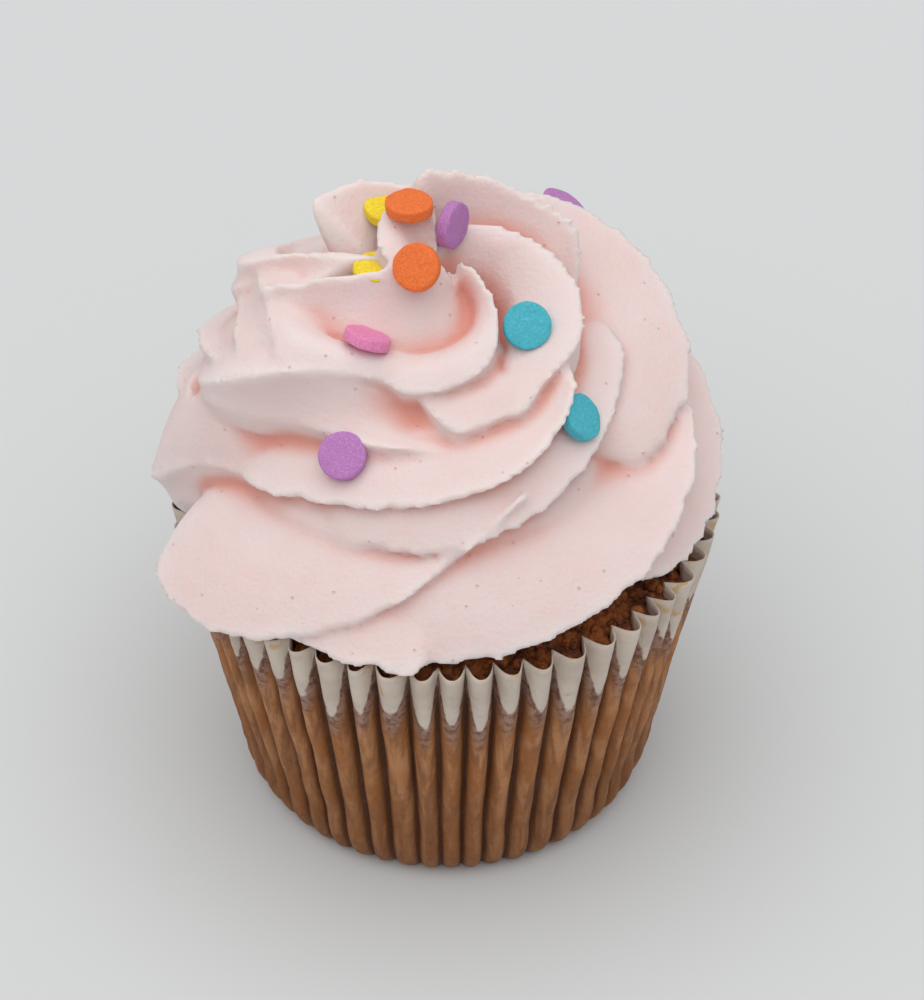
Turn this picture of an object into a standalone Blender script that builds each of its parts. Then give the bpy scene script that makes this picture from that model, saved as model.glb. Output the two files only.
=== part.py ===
"""A frosted cupcake: a pleated paper case, the cake baked in it, and a piped swirl of buttercream.

Metres, +Z up. The origin is the middle of the case's flat base, and -Y is the front.
Angles are degrees round +Z, measured from +X, so the front is at -90.
"""

import math

import bmesh
import bpy
import numpy as np

MM = 0.001
GAP = 0.3 * MM               # clearance between neighbouring solids

# --- paper case -----------------------------------------------------------------------------
CASE_HEIGHT = 44.0 * MM
RIM_RADIUS = 35.0 * MM       # outermost point of a pleat at the rim
SHOULDER_RADIUS = 28.6 * MM  # where the straight side meets the rounded bottom corner
SHOULDER_HEIGHT = 9.0 * MM
BASE_RADIUS = 24.5 * MM      # edge of the flat bottom
PAPER = 0.35 * MM
PLEATS = 54
PLEAT_UNEVENNESS = 0.17      # share by which one pleat is wider or narrower than the next
PLEAT_DEPTH_RIM = 2.3 * MM
PLEAT_DEPTH_SHOULDER = 1.1 * MM
PLEAT_DEPTH_BASE = 0.35 * MM
PLEAT_STATIONS = (0.0, 0.2, 0.5, 0.8)     # along one pleat, from its inward fold
PLEAT_BULGE = (-1.0, 0.35, 1.0, 0.35)     # -1 is the inward fold, 1 the outermost paper
PLEAT_SEED = 11
CORNER_HEIGHT = 0.3 * SHOULDER_HEIGHT    # a ring half-way round the rounded bottom corner

# --- cake -----------------------------------------------------------------------------------
CAKE_EDGE_HEIGHT = 42.4 * MM   # where the crumb meets the paper
CAKE_DOME = 5.2 * MM           # how far its middle rises above that edge
CAKE_DOME_POWER = 2.2          # above 2 the dome is flatter in the middle
CAKE_TOP_SHARES = (0.86, 0.55, 0.25)     # rings over the dome, as shares of its radius
CAKE_CORNER_GAPS = (0.5 * MM, 0.2 * MM)  # extra clearance at the base and half-way round the corner
CAKE_EDGE_DROP = 0.2 * MM      # the side ends this much below the edge

# --- frosting -------------------------------------------------------------------------------
# Soft buttercream piped through a star nozzle in a spiral that rises anticlockwise to a peak.
# Each tooth of the nozzle leaves a ridge that starts low on the outside and winds up and inwards.
SWIRL_CENTRE = (-0.6 * MM, 0.4 * MM)   # the swirl sits a little to the left of the cake's middle
FROSTING_FLOOR = CASE_HEIGHT + GAP
RIM_BAND = 31.5 * MM                   # outside this radius the frosting hangs over the paper

# The spiral's middle line, in degrees along it, and its distance from the axis and height.
SPIRAL_START, SPIRAL_END = -270.0, 745.0
ROPE_END = 560.0                       # beyond this the folds are the peak themselves
ROPE_RADIUS_START, ROPE_RADIUS_END = 23.0 * MM, 1.0 * MM
ROPE_HEIGHT_START, ROPE_HEIGHT_END = 52.0 * MM, 80.0 * MM
ROPE_SIZE_START, ROPE_SIZE_END = 5.0 * MM, 3.0 * MM    # radius of its solid middle
ROPE_DRAW_IN, ROPE_RISE = 1.5, 1.45                     # how late along the spiral it narrows and climbs
ROPE_STATIONS = 110

# Each ridge's crest: the angles along the spiral where it starts and ends, then its distance
# from the swirl's axis and its height at four even steps between them (mm), then how full it
# is above and below.
RIDGES = (
    ((-270, -160), (34.5, 37.0, 35.0, 27.0), (46.5, 48.0, 55.0, 64.0), (1.2, 1.4)),    # back low
    ((-163, -58), (38.5, 37.0, 29.0, 25.0), (47.5, 45.0, 54.0, 65.0), (1.0, 1.0)),    # front skirt
    ((-136, 2), (34.8, 34.6, 34.8, 29.0), (45.2, 45.4, 52.0, 65.0), (1.0, 1.0)),    # right skirt
    ((-46, 38), (32.0, 35.3, 34.0, 27.0), (46.3, 49.0, 57.0, 65.0), (1.0, 1.0)),    # right edge
    ((-5, 100), (33.0, 34.8, 33.0, 26.0), (46.0, 48.3, 56.0, 65.0), (1.0, 1.0)),    # back right
    ((42, 150), (33.5, 35.0, 33.0, 25.0), (46.0, 47.8, 55.0, 64.5), (1.1, 1.1)),    # back middle
    ((92, 190), (33.5, 35.5, 34.0, 27.0), (46.0, 47.8, 54.0, 62.0), (1.3, 1.5)),    # back left
    ((105, 215), (32.3, 33.2, 29.6, 22.0), (52.0, 57.5, 66.0, 73.5), (1.6, 1.8)),    # left shoulder
    ((199, 338), (30.5, 24.9, 24.1, 19.0), (55.5, 60.3, 64.8, 75.0), (1.0, 1.0)),    # front middle
    ((210, 368), (21.0, 26.6, 24.6, 22.5), (56.5, 56.5, 62.0, 71.5), (1.0, 1.0)),    # front under
    ((322, 430), (25.0, 30.8, 27.4, 17.5), (57.0, 64.0, 72.5, 79.0), (1.0, 1.2)),    # right outer
    ((372, 485), (27.0, 29.5, 26.0, 17.0), (57.0, 61.5, 70.0, 77.5), (1.1, 1.3)),    # back upper right
    ((425, 535), (28.0, 30.5, 27.0, 18.0), (56.0, 60.5, 68.5, 77.0), (1.2, 1.4)),    # back upper left
    ((372, 478), (21.0, 13.0, 9.5, 9.0), (77.0, 83.5, 86.0, 86.0), (1.0, 1.2)),    # peak back
    ((455, 526), (9.0, 11.5, 15.0, 16.5), (84.5, 84.0, 84.2, 83.0), (1.0, 1.5)),    # peak left
)
RIDGE_STATIONS = 60
# A ridge is thin at its crest and fuller towards the rope's middle: half its thickness above
# and below, once it has run some way in from the crest.
RIDGE_SHARES = (0.0, 0.25, 0.5, 0.68, 0.82, 0.92, 0.98)
FULL_ABOVE, FULL_BELOW, FULL_RUN = 3.6 * MM, 1.8 * MM, 7.0 * MM
CREST_HALF = 0.30 * MM
END_SHARE = 0.5                        # a ridge's depth at its very ends, as a share of its depth
END_RUN = 0.12                         # share of its length over which it grows from that
# In front, on the left and round the bowl at the peak the ridges are full folds. For each:
# how much its top bulges, as a share of its width, then stations of angle, distance and
# height of the crest, of the foot of its flank, and of the line where its top begins (mm).
FOLDS = (
    # peak tail
    (0.20, (
        (100, 4.0, 84.6, 4.5, 80.0, 1.5, 84.0), (115, 5.5, 85.0, 6.0, 80.0, 2.5, 84.2),
        (140, 7.0, 84.8, 7.3, 80.0, 3.4, 83.6), (165, 7.4, 84.0, 7.7, 79.5, 3.6, 83.0),
        (190, 7.2, 82.8, 7.5, 79.0, 3.2, 82.0), (212, 6.2, 81.3, 6.6, 79.0, 2.5, 81.0),
        (235, 4.5, 80.6, 5.0, 78.5, 1.5, 80.5))),
    # peak fold
    (0.05, (
        (181, 21.0, 75.5, 21.5, 74.5, 17.0, 74.0), (187, 21.0, 77.6, 21.3, 76.6, 17.0, 76.5),
        (194, 14.8, 79.6, 18.3, 75.6, 11.0, 78.0), (206, 8.4, 80.7, 15.0, 74.6, 5.0, 79.0),
        (226, 4.6, 81.3, 11.8, 73.4, 2.5, 80.0), (252, 2.8, 81.4, 9.2, 72.6, 1.5, 80.3),
        (274, 1.8, 81.2, 7.6, 72.8, 0.8, 80.0), (295, 1.2, 80.6, 6.1, 73.3, 0.6, 79.5),
        (318, 1.0, 79.6, 4.9, 74.0, 0.6, 78.8), (345, 0.8, 78.4, 3.3, 75.3, 0.4, 77.8))),
    # bowl lip
    (0.22, (
        (186, 20.6, 75.4, 20.0, 72.5, 18.5, 76.2), (200, 21.3, 74.4, 20.3, 71.5, 17.0, 75.4),
        (213, 21.0, 73.6, 19.5, 71.0, 15.2, 74.5), (240, 15.3, 72.1, 14.6, 69.5, 10.4, 73.0),
        (256, 15.1, 70.9, 14.0, 68.5, 9.0, 72.5), (279, 13.8, 71.5, 13.0, 69.0, 7.4, 72.7),
        (300, 12.4, 73.1, 12.0, 70.0, 6.1, 73.2), (316, 9.9, 75.6, 10.0, 71.5, 5.0, 73.9),
        (328, 7.4, 77.8, 8.3, 73.5, 3.9, 75.0), (338, 4.9, 79.5, 6.5, 76.0, 2.5, 76.6),
        (348, 2.6, 81.0, 4.5, 78.5, 0.8, 79.0))),
    # right lip
    (0.10, (
        (286, 14.5, 67.5, 14.0, 66.0, 11.5, 69.0), (301, 18.3, 68.8, 17.6, 66.3, 12.8, 70.3),
        (317, 17.4, 71.0, 17.2, 67.5, 11.3, 71.6), (334, 18.3, 73.2, 18.0, 69.0, 10.0, 73.3),
        (344, 17.8, 74.9, 17.6, 70.5, 9.6, 74.0), (356, 16.6, 76.6, 16.8, 72.0, 9.0, 74.8),
        (375, 13.3, 79.0, 14.5, 75.0, 6.9, 76.0), (392, 9.7, 80.5, 12.0, 76.5, 5.0, 77.5),
        (419, 6.2, 81.2, 9.0, 77.5, 3.7, 79.0), (440, 4.5, 81.5, 7.0, 78.0, 2.5, 80.0))),
    # small ledge
    (0.08, (
        (258, 13.5, 69.8, 13.5, 67.5, 9.0, 70.5), (264, 15.0, 69.3, 14.8, 66.5, 10.0, 70.5),
        (270, 16.5, 68.4, 16.2, 65.5, 11.0, 70.3), (277, 17.8, 67.6, 17.3, 64.5, 11.5, 70.2),
        (286, 17.8, 68.0, 17.3, 64.5, 12.0, 70.3), (294, 17.6, 68.5, 17.2, 65.0, 12.0, 70.5),
        (304, 18.0, 69.2, 17.6, 66.0, 12.0, 71.0))),
    # left fold
    (0.05, (
        (160, 30.8, 57.6, 30.3, 55.6, 25.2, 67.6), (176, 29.9, 60.8, 29.5, 59.2, 24.6, 69.4),
        (187, 29.7, 64.4, 29.5, 61.6, 23.8, 70.6), (198, 29.2, 68.0, 29.0, 65.4, 24.2, 71.9),
        (207, 26.0, 71.0, 25.8, 65.3, 22.0, 73.2), (216, 22.0, 73.0, 22.5, 65.6, 18.0, 73.0),
        (228, 17.6, 73.0, 20.8, 66.0, 13.0, 71.2), (240, 15.0, 69.8, 20.2, 66.0, 11.0, 69.0),
        (262, 12.5, 67.5, 19.0, 66.0, 9.0, 68.0), (285, 10.0, 67.0, 17.5, 65.0, 6.0, 68.0))),
    # left low
    (0.05, (
        (100, 28.0, 45.8, 27.5, 44.8, 24.0, 49.5), (125, 32.6, 46.0, 32.1, 44.8, 29.0, 54.5),
        (150, 34.5, 46.2, 34.0, 44.8, 31.0, 57.0), (168, 35.4, 46.4, 34.6, 44.8, 31.0, 59.3),
        (184, 36.5, 47.8, 34.9, 45.8, 30.8, 61.2), (192, 33.6, 52.6, 32.6, 47.4, 29.3, 63.0),
        (199, 30.3, 56.0, 29.6, 48.4, 27.0, 63.6), (212, 26.5, 57.3, 26.4, 49.4, 23.0, 61.0),
        (250, 22.0, 58.0, 23.5, 51.0, 19.0, 60.0))),
    # left upper
    (0.05, (
        (125, 27.5, 64.0, 28.5, 61.0, 22.0, 70.0), (145, 27.2, 69.0, 28.2, 65.5, 22.0, 73.0),
        (161, 26.0, 73.8, 27.2, 69.5, 21.0, 76.5), (168, 24.8, 75.3, 26.2, 71.0, 19.5, 77.6),
        (171, 20.5, 77.5, 25.4, 72.5, 15.0, 79.0), (174, 15.0, 79.2, 22.0, 74.5, 10.0, 79.8),
        (184, 10.0, 80.2, 16.0, 77.5, 6.0, 80.2))),
    # left hollow
    (0.05, (
        (168, 22.4, 74.5, 25.6, 71.0, 18.0, 76.0), (178, 21.6, 76.0, 24.6, 71.4, 17.0, 77.0),
        (190, 20.6, 76.0, 25.1, 71.8, 16.0, 76.5), (200, 20.8, 75.2, 25.0, 71.6, 15.0, 75.5),
        (209, 21.0, 74.0, 24.4, 71.3, 15.0, 74.5))),
)
FOLD_STATIONS = 44
TOP_SHARES = (0.0, 0.25, 0.5, 0.75, 0.95)
FLANK_SHARES = (0.1, 0.4, 0.7, 1.0)
FLANK_HOLLOW = 0.09                    # how far a flank is scooped, as a share of its length
CREST_LIFT = (0.25, 0.10)              # mm outwards and up
UNDER_TOP = ((-5.0, -6.0), (-2.0, -3.0))     # the underside, from the inner line (mm)
UNDER_FOOT = ((-1.0, -3.0), (-6.0, -7.0))    # and from the foot (mm)

# The solid heap under it all, as distance from the axis and height (mm).
HEAP = ((26.0, 50.0), (18.0, 55.0), (13.0, 60.0), (10.0, 65.0), (7.0, 69.5), (4.0, 72.5), (2.0, 73.5))
VOXEL = 0.7 * MM
FROSTING_TRIANGLES = 4300
ROPE_SIDES, HEAP_SIDES = 12, 60
HEAP_UNDER = (2.0 * MM, 26.0 * MM, 9)   # from, to and number of rings under the heap


def clear_scene():
    for item in list(bpy.data.objects):
        bpy.data.objects.remove(item, do_unlink=True)


def principled(name, colour, roughness):
    material = bpy.data.materials.new(name)
    material.use_nodes = True
    shader = material.node_tree.nodes["Principled BSDF"]
    shader.inputs["Base Color"].default_value = (*colour, 1.0)
    shader.inputs["Roughness"].default_value = roughness
    shader.inputs["Metallic"].default_value = 0.0
    return material


def place(name, mesh, material):
    item = bpy.data.objects.new(name, mesh)
    bpy.context.scene.collection.objects.link(item)
    mesh.materials.append(material)
    return item


def mesh_of(name, rows, faces):
    mesh = bpy.data.meshes.new(name)
    mesh.from_pydata([tuple(row) for row in rows], [], [tuple(face) for face in faces])
    mesh.validate()
    return mesh


# --- paper case and cake --------------------------------------------------------------------

def pleat_columns():
    """The angle in radians, and the bulge, of every vertical line of the pleated side."""
    random = np.random.default_rng(PLEAT_SEED)
    widths = 1.0 + PLEAT_UNEVENNESS * random.uniform(-1.0, 1.0, PLEATS)
    edges = np.concatenate([[0.0], np.cumsum(widths)]) * (2 * math.pi / widths.sum())
    angles, bulges = [], []
    for first, last in zip(edges[:-1], edges[1:]):
        for along, bulge in zip(PLEAT_STATIONS, PLEAT_BULGE):
            angles.append(first + along * (last - first))
            bulges.append(bulge)
    return np.array(angles), np.array(bulges)


def side_at(height):
    """Outer radius and pleat depth of the case at a height."""
    if height >= SHOULDER_HEIGHT:
        share = (height - SHOULDER_HEIGHT) / (CASE_HEIGHT - SHOULDER_HEIGHT)
        radius = SHOULDER_RADIUS + share * (RIM_RADIUS - SHOULDER_RADIUS)
        return radius, PLEAT_DEPTH_SHOULDER + share * (PLEAT_DEPTH_RIM - PLEAT_DEPTH_SHOULDER)
    share = math.sqrt(1.0 - (1.0 - height / SHOULDER_HEIGHT) ** 2)
    radius = BASE_RADIUS + share * (SHOULDER_RADIUS - BASE_RADIUS)
    return radius, PLEAT_DEPTH_BASE + share * (PLEAT_DEPTH_SHOULDER - PLEAT_DEPTH_BASE)


def pleated_ring(height, inset, lift=0.0):
    """One closed ring of points on the pleated side, moved in by inset and set at height plus lift."""
    angles, bulges = pleat_columns()
    radius, depth = side_at(height)
    reach = radius - inset - depth * 0.5 * (1.0 - bulges)
    level = np.full(len(angles), height + lift)
    return np.stack([reach * np.cos(angles), reach * np.sin(angles), level], axis=1)


def bridge(first, second, count):
    """Quads between two rings of count points that start at the given indices."""
    return [(first + i, first + (i + 1) % count, second + (i + 1) % count, second + i) for i in range(count)]


def paper_case():
    outer = [pleated_ring(height, 0.0) for height in (0.0, CORNER_HEIGHT, SHOULDER_HEIGHT, CASE_HEIGHT)]
    inner = [pleated_ring(CASE_HEIGHT, PAPER)]
    inner.append(pleated_ring(SHOULDER_HEIGHT, PAPER))
    inner.append(pleated_ring(CORNER_HEIGHT, PAPER))
    inner.append(pleated_ring(0.0, PAPER, PAPER))
    rings = outer + inner
    count = len(rings[0])
    faces = []
    for i in range(len(rings) - 1):
        faces += bridge(i * count, (i + 1) * count, count)
    rows = np.concatenate(rings + [[[0.0, 0.0, 0.0]], [[0.0, 0.0, PAPER]]])
    under, inside = len(rows) - 2, len(rows) - 1
    last = (len(rings) - 1) * count
    faces += [(under, (i + 1) % count, i) for i in range(count)]
    faces += [(inside, last + i, last + (i + 1) % count) for i in range(count)]
    paper = principled("paper", (0.33, 0.17, 0.09), 0.6)
    return place("paper_case", mesh_of("paper_case", rows, faces), paper)


def dome_height(radius):
    """Height of the cake's crumb at a distance from its middle."""
    share = np.clip(np.asarray(radius) / (RIM_RADIUS - PLEAT_DEPTH_RIM), 0.0, 1.0)
    return CAKE_EDGE_HEIGHT + CAKE_DOME * (1.0 - share ** CAKE_DOME_POWER)


def cake():
    inset = PAPER + GAP
    rings = [pleated_ring(0.0, inset + CAKE_CORNER_GAPS[0], PAPER + GAP)]
    rings.append(pleated_ring(CORNER_HEIGHT, inset + CAKE_CORNER_GAPS[1]))
    rings.append(pleated_ring(SHOULDER_HEIGHT, inset))
    rings.append(pleated_ring(CAKE_EDGE_HEIGHT - CAKE_EDGE_DROP, inset))
    count = len(rings[0])
    faces = []
    for i in range(len(rings) - 1):
        faces += bridge(i * count, (i + 1) * count, count)
    step = len(PLEAT_STATIONS)
    sparse = pleated_ring(CAKE_EDGE_HEIGHT, 0.0)[::step]
    for share in CAKE_TOP_SHARES:
        ring = sparse.copy()
        ring[:, :2] *= share
        ring[:, 2] = dome_height(np.hypot(ring[:, 0], ring[:, 1]))
        rings.append(ring)
    edge = 3 * count
    first = 4 * count
    for i in range(PLEATS):
        near, far = first + i, first + (i + 1) % PLEATS
        strip = [edge + (i * step + k) % count for k in range(step + 1)]
        faces += [(strip[k], strip[k + 1], near) for k in range(step // 2)]
        faces.append((strip[step // 2], far, near))
        faces += [(strip[k], strip[k + 1], far) for k in range(step // 2, step)]
    faces += bridge(first, first + PLEATS, PLEATS)
    faces += bridge(first + PLEATS, first + 2 * PLEATS, PLEATS)
    rows = np.concatenate(rings + [[[0.0, 0.0, inset]], [[0.0, 0.0, CAKE_EDGE_HEIGHT + CAKE_DOME]]])
    under, top = len(rows) - 2, len(rows) - 1
    last = first + 2 * PLEATS
    faces += [(under, (i + 1) % count, i) for i in range(count)]
    faces += [(top, last + i, last + (i + 1) % PLEATS) for i in range(PLEATS)]
    return place("cake", mesh_of("cake", rows, faces), principled("crumb", (0.16, 0.06, 0.025), 0.9))


# --- frosting -------------------------------------------------------------------------------

def between(values, along):
    """The cubic through four values at even steps, read at a share of the way along."""
    total = 0.0
    for i, value in enumerate(values):
        weight = 1.0
        for k in range(len(values)):
            if k != i:
                weight *= ((len(values) - 1) * along - k) / (i - k)
        total += weight * value
    return total


def turned(radius, height, angle):
    """Points from their distance to the swirl's axis, their height and their angle in degrees."""
    flat = np.radians(angle)
    x = SWIRL_CENTRE[0] + radius * np.cos(flat)
    y = SWIRL_CENTRE[1] + radius * np.sin(flat)
    return np.stack([x, y, height + 0.0 * x], axis=-1)


def tube(sections):
    """A closed mesh's points and faces from equal closed sections, with its ends capped."""
    stations, points = len(sections), len(sections[0])
    faces = []
    for i in range(stations - 1):
        faces += bridge(i * points, (i + 1) * points, points)
    faces.append(tuple(reversed(range(points))))
    faces.append(tuple(range((stations - 1) * points, stations * points)))
    return np.concatenate(sections), faces


def rope_at(angle):
    """Distance from the axis, height and size of the rope's solid middle, at degrees along the spiral."""
    share = min(1.0, max(0.0, (angle - SPIRAL_START) / (SPIRAL_END - SPIRAL_START)))
    radius = ROPE_RADIUS_START + (ROPE_RADIUS_END - ROPE_RADIUS_START) * share ** ROPE_DRAW_IN
    height = ROPE_HEIGHT_START + (ROPE_HEIGHT_END - ROPE_HEIGHT_START) * share ** ROPE_RISE
    return radius, height, ROPE_SIZE_START + (ROPE_SIZE_END - ROPE_SIZE_START) * share


def ridge(angles, radii, heights, fullness):
    """One ridge of the swirl, a blade from the rope's middle out to its crest."""
    sections = []
    for along in np.linspace(0.0, 1.0, RIDGE_STATIONS):
        angle = angles[0] + along * (angles[1] - angles[0])
        middle, level, _ = rope_at(angle)
        out, up = between(radii, along) * MM - middle, between(heights, along) * MM - level
        end = min(along, 1.0 - along)
        depth = END_SHARE + (1.0 - END_SHARE) * math.sin(0.5 * math.pi * min(1.0, end / END_RUN))
        depth *= math.hypot(out, up)
        crest = math.atan2(up, out)
        points = []
        for side, full in ((1.0, FULL_ABOVE * fullness[0]), (-1.0, FULL_BELOW * fullness[1])):
            shares = RIDGE_SHARES if side > 0 else RIDGE_SHARES[::-1]
            for share in shares:
                length = depth * share
                half = CREST_HALF + full * (1.0 - math.exp((length - depth) / FULL_RUN))
                away = length * math.cos(crest) - side * half * math.sin(crest)
                rise = length * math.sin(crest) + side * half * math.cos(crest)
                points.append(turned(middle + away, level + rise, angle))
            if side > 0:
                tip = turned(middle + depth * math.cos(crest), level + depth * math.sin(crest), angle)
                points.append(tip)
        sections.append(np.array(points))
    return tube(sections)


def station_at(stations, along):
    """The smooth run of seven numbers through the stations, read at a share of the way along."""
    last = len(stations) - 1
    place_on = min(along * last, last - 1e-9)
    index = int(place_on)
    part = place_on - index
    before, first, second, after = (np.array(stations[min(max(k, 0), last)], float)
                                    for k in range(index - 1, index + 3))
    return 0.5 * (2 * first + (second - before) * part
                  + (2 * before - 5 * first + 4 * second - after) * part ** 2
                  + (3 * first - before - 3 * second + after) * part ** 3)


def bowed(start, end, bow, shares):
    """Points on a line from start to end that bows to one side by a share of its length."""
    (near, low), (far, high) = start, end
    return [(near + (far - near) * t + bow * math.sin(math.pi * t) * (high - low),
             low + (high - low) * t - bow * math.sin(math.pi * t) * (far - near)) for t in shares]


def fold(bulge, stations):
    """A full fold of the swirl: its top, crest and flank, closed underneath."""
    sections = []
    for along in np.linspace(0.0, 1.0, FOLD_STATIONS):
        angle, crest_r, crest_z, foot_r, foot_z, inner_r, inner_z = station_at(stations, along)
        outline = [(max(inner_r + UNDER_TOP[0][0], 0.2), foot_z + UNDER_TOP[0][1]),
                   (max(inner_r + UNDER_TOP[1][0], 0.3), inner_z + UNDER_TOP[1][1])]
        outline += bowed((inner_r, inner_z), (crest_r, crest_z), -bulge, TOP_SHARES)
        outline.append((crest_r + CREST_LIFT[0], crest_z + CREST_LIFT[1]))
        outline += bowed((crest_r, crest_z), (foot_r, foot_z), FLANK_HOLLOW, FLANK_SHARES)
        outline += [(max(foot_r + out, 0.2), foot_z + up) for out, up in UNDER_FOOT]
        sections.append(np.array([turned(out * MM, up * MM, angle) for out, up in outline]))
    return tube(sections)


def rope():
    """The rope's solid middle along the whole spiral."""
    ways = np.linspace(0.0, 2.0 * math.pi, ROPE_SIDES, endpoint=False)
    sections = []
    for angle in np.linspace(SPIRAL_START, ROPE_END, ROPE_STATIONS):
        radius, height, size = rope_at(angle)
        sections.append(turned(radius + size * np.cos(ways), height + size * np.sin(ways), angle))
    return tube(sections)


def heap():
    """The solid heap under the ridges, a turned shape from the cake up to the peak."""
    ways = np.linspace(0.0, 360.0, HEAP_SIDES, endpoint=False)
    profile = [(radius, float(dome_height(radius)) + GAP) for radius in np.linspace(*HEAP_UNDER)]
    profile += [(radius * MM, height * MM) for radius, height in HEAP]
    return tube([turned(radius + 0.0 * ways, height, ways) for radius, height in profile])


def add_shape(form, rows, faces):
    points = [form.verts.new(tuple(row)) for row in rows]
    for face in faces:
        form.faces.new([points[i] for i in face])


def apply_modifiers(item):
    """Replace the object's mesh with what its modifiers make of it."""
    graph = bpy.context.evaluated_depsgraph_get()
    made = bpy.data.meshes.new_from_object(item.evaluated_get(graph))
    item.modifiers.clear()
    item.data = made


def keep_largest(mesh):
    """Drop every island but the largest, such as a bubble left inside."""
    form = bmesh.new()
    form.from_mesh(mesh)
    left, islands = set(form.verts), []
    while left:
        stack, island = [left.pop()], []
        while stack:
            point = stack.pop()
            island.append(point)
            for edge in point.link_edges:
                other = edge.other_vert(point)
                if other in left:
                    left.remove(other)
                    stack.append(other)
        islands.append(island)
    islands.sort(key=len)
    for island in islands[:-1]:
        bmesh.ops.delete(form, geom=island, context="VERTS")
    form.to_mesh(mesh)
    form.free()


def lift_off(mesh):
    """Raise what would sink into the cake or the paper to just above them."""
    for point in mesh.vertices:
        radius = math.hypot(point.co.x, point.co.y)
        floor = FROSTING_FLOOR
        if radius <= RIM_BAND:
            floor = max(floor, float(dome_height(radius)) + GAP)
        point.co.z = max(point.co.z, floor)


def frosting():
    form = bmesh.new()
    for numbers in RIDGES:
        add_shape(form, *ridge(*numbers))
    for bulge, stations in FOLDS:
        add_shape(form, *fold(bulge, stations))
    add_shape(form, *rope())
    add_shape(form, *heap())
    bmesh.ops.recalc_face_normals(form, faces=form.faces)
    mesh = bpy.data.meshes.new("frosting")
    form.to_mesh(mesh)
    form.free()
    item = place("frosting", mesh, principled("buttercream", (0.87, 0.62, 0.58), 0.55))
    merge = item.modifiers.new("one body", "REMESH")
    merge.mode = "VOXEL"
    merge.voxel_size = VOXEL
    apply_modifiers(item)
    keep_largest(item.data)
    thin = item.modifiers.new("fewer faces", "DECIMATE")
    thin.ratio = FROSTING_TRIANGLES / (2.0 * len(item.data.polygons))
    apply_modifiers(item)
    lift_off(item.data)
    item.data.shade_smooth()
    return item


def main():
    clear_scene()
    paper_case()
    cake()
    frosting()


main()
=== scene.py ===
# %% [markdown]
# # A frosted cupcake in its paper case
#
# A small brown cake baked in a pleated paper case, under a tall swirl of pale pink
# buttercream with ten sugar discs stuck to it. The solid parts of the model give the frame:
# their sizes and places are fixed, and the pieces made here stand in for them. Lengths are
# in metres, the origin is the middle of the flat base, +Z is up and -Y is the front.

# %% Load the frame
import math

import bmesh
import bpy
import numpy as np
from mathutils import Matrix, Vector


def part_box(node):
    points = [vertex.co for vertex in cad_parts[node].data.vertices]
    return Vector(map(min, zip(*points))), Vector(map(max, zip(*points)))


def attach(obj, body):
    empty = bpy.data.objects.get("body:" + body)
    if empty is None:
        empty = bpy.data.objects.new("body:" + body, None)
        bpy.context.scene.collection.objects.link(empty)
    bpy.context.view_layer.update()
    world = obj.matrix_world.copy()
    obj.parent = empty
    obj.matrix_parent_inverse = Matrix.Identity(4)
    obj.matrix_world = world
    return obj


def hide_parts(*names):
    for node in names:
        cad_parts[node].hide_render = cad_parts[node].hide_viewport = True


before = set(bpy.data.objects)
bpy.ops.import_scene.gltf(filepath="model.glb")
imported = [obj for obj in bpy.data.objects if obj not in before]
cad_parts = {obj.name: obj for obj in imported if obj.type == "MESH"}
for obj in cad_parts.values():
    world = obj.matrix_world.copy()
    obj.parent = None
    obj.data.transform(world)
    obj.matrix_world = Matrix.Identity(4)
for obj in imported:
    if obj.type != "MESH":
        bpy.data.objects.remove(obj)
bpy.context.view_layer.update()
MM = 0.001
case_low, case_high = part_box("paper_case")
print("nodes", sorted(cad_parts), "case height mm", round((case_high.z - case_low.z) / MM, 1))

# %% [markdown]
# ## Where it is seen from
#
# A cupcake is usually looked down on, so that the swirl and the front of the case both show.
# A long lens from about a third of a metre keeps the sides of the case from splaying out.

# %% Camera
LENS = 94.2
LOOK_DOWN = math.radians(41.29)
VIEW_PLACE = (0.0021, -0.2518, 0.2631)

view_data = bpy.data.cameras.new("view")
view_data.lens = LENS
view_data.sensor_width = 36.0
view = bpy.data.objects.new("view", view_data)
bpy.context.scene.collection.objects.link(view)
view.location = VIEW_PLACE
view.rotation_euler = (math.pi / 2 - LOOK_DOWN, 0.0, 0.0)
bpy.context.scene.camera = view
print("lens", view_data.lens, "mm")

# %% [markdown]
# ## Helpers for nodes
#
# Materials and Geometry Nodes are both trees of nodes. These few helpers add a node, feed
# its inputs with a number or a link, and build the sums and noises that every tree needs.

# %% Node helpers
def feed(tree, socket, value):
    """Give an input a plain value, or a link from another node's output."""
    if isinstance(value, bpy.types.NodeSocket):
        tree.links.new(value, socket)
    else:
        socket.default_value = value


def add_node(tree, kind, settings=None, **inputs):
    """A new node of a kind, with its settings, and its inputs fed by name (_ stands for a space)."""
    made = tree.nodes.new(kind)
    for name, value in (settings or {}).items():
        setattr(made, name, value)
    for name, value in inputs.items():
        feed(tree, made.inputs[name.replace("_", " ")], value)
    return made


def calc(tree, operation, *values):
    """One Math node: ADD, MULTIPLY, POWER and so on, of numbers or links."""
    made = tree.nodes.new("ShaderNodeMath")
    made.operation = operation
    for socket, value in zip(made.inputs, values):
        feed(tree, socket, value)
    return made.outputs[0]


def times(tree, *factors):
    """The product of any number of numbers or links."""
    product = factors[0]
    for factor in factors[1:]:
        product = calc(tree, "MULTIPLY", product, factor)
    return product


def plus(tree, first, second):
    return calc(tree, "ADD", first, second)


def minus(tree, first, second):
    return calc(tree, "SUBTRACT", first, second)


def point(tree, x=0.0, y=0.0, z=0.0):
    """Three numbers or links as one place."""
    return add_node(tree, "ShaderNodeCombineXYZ", X=x, Y=y, Z=z).outputs[0]


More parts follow.
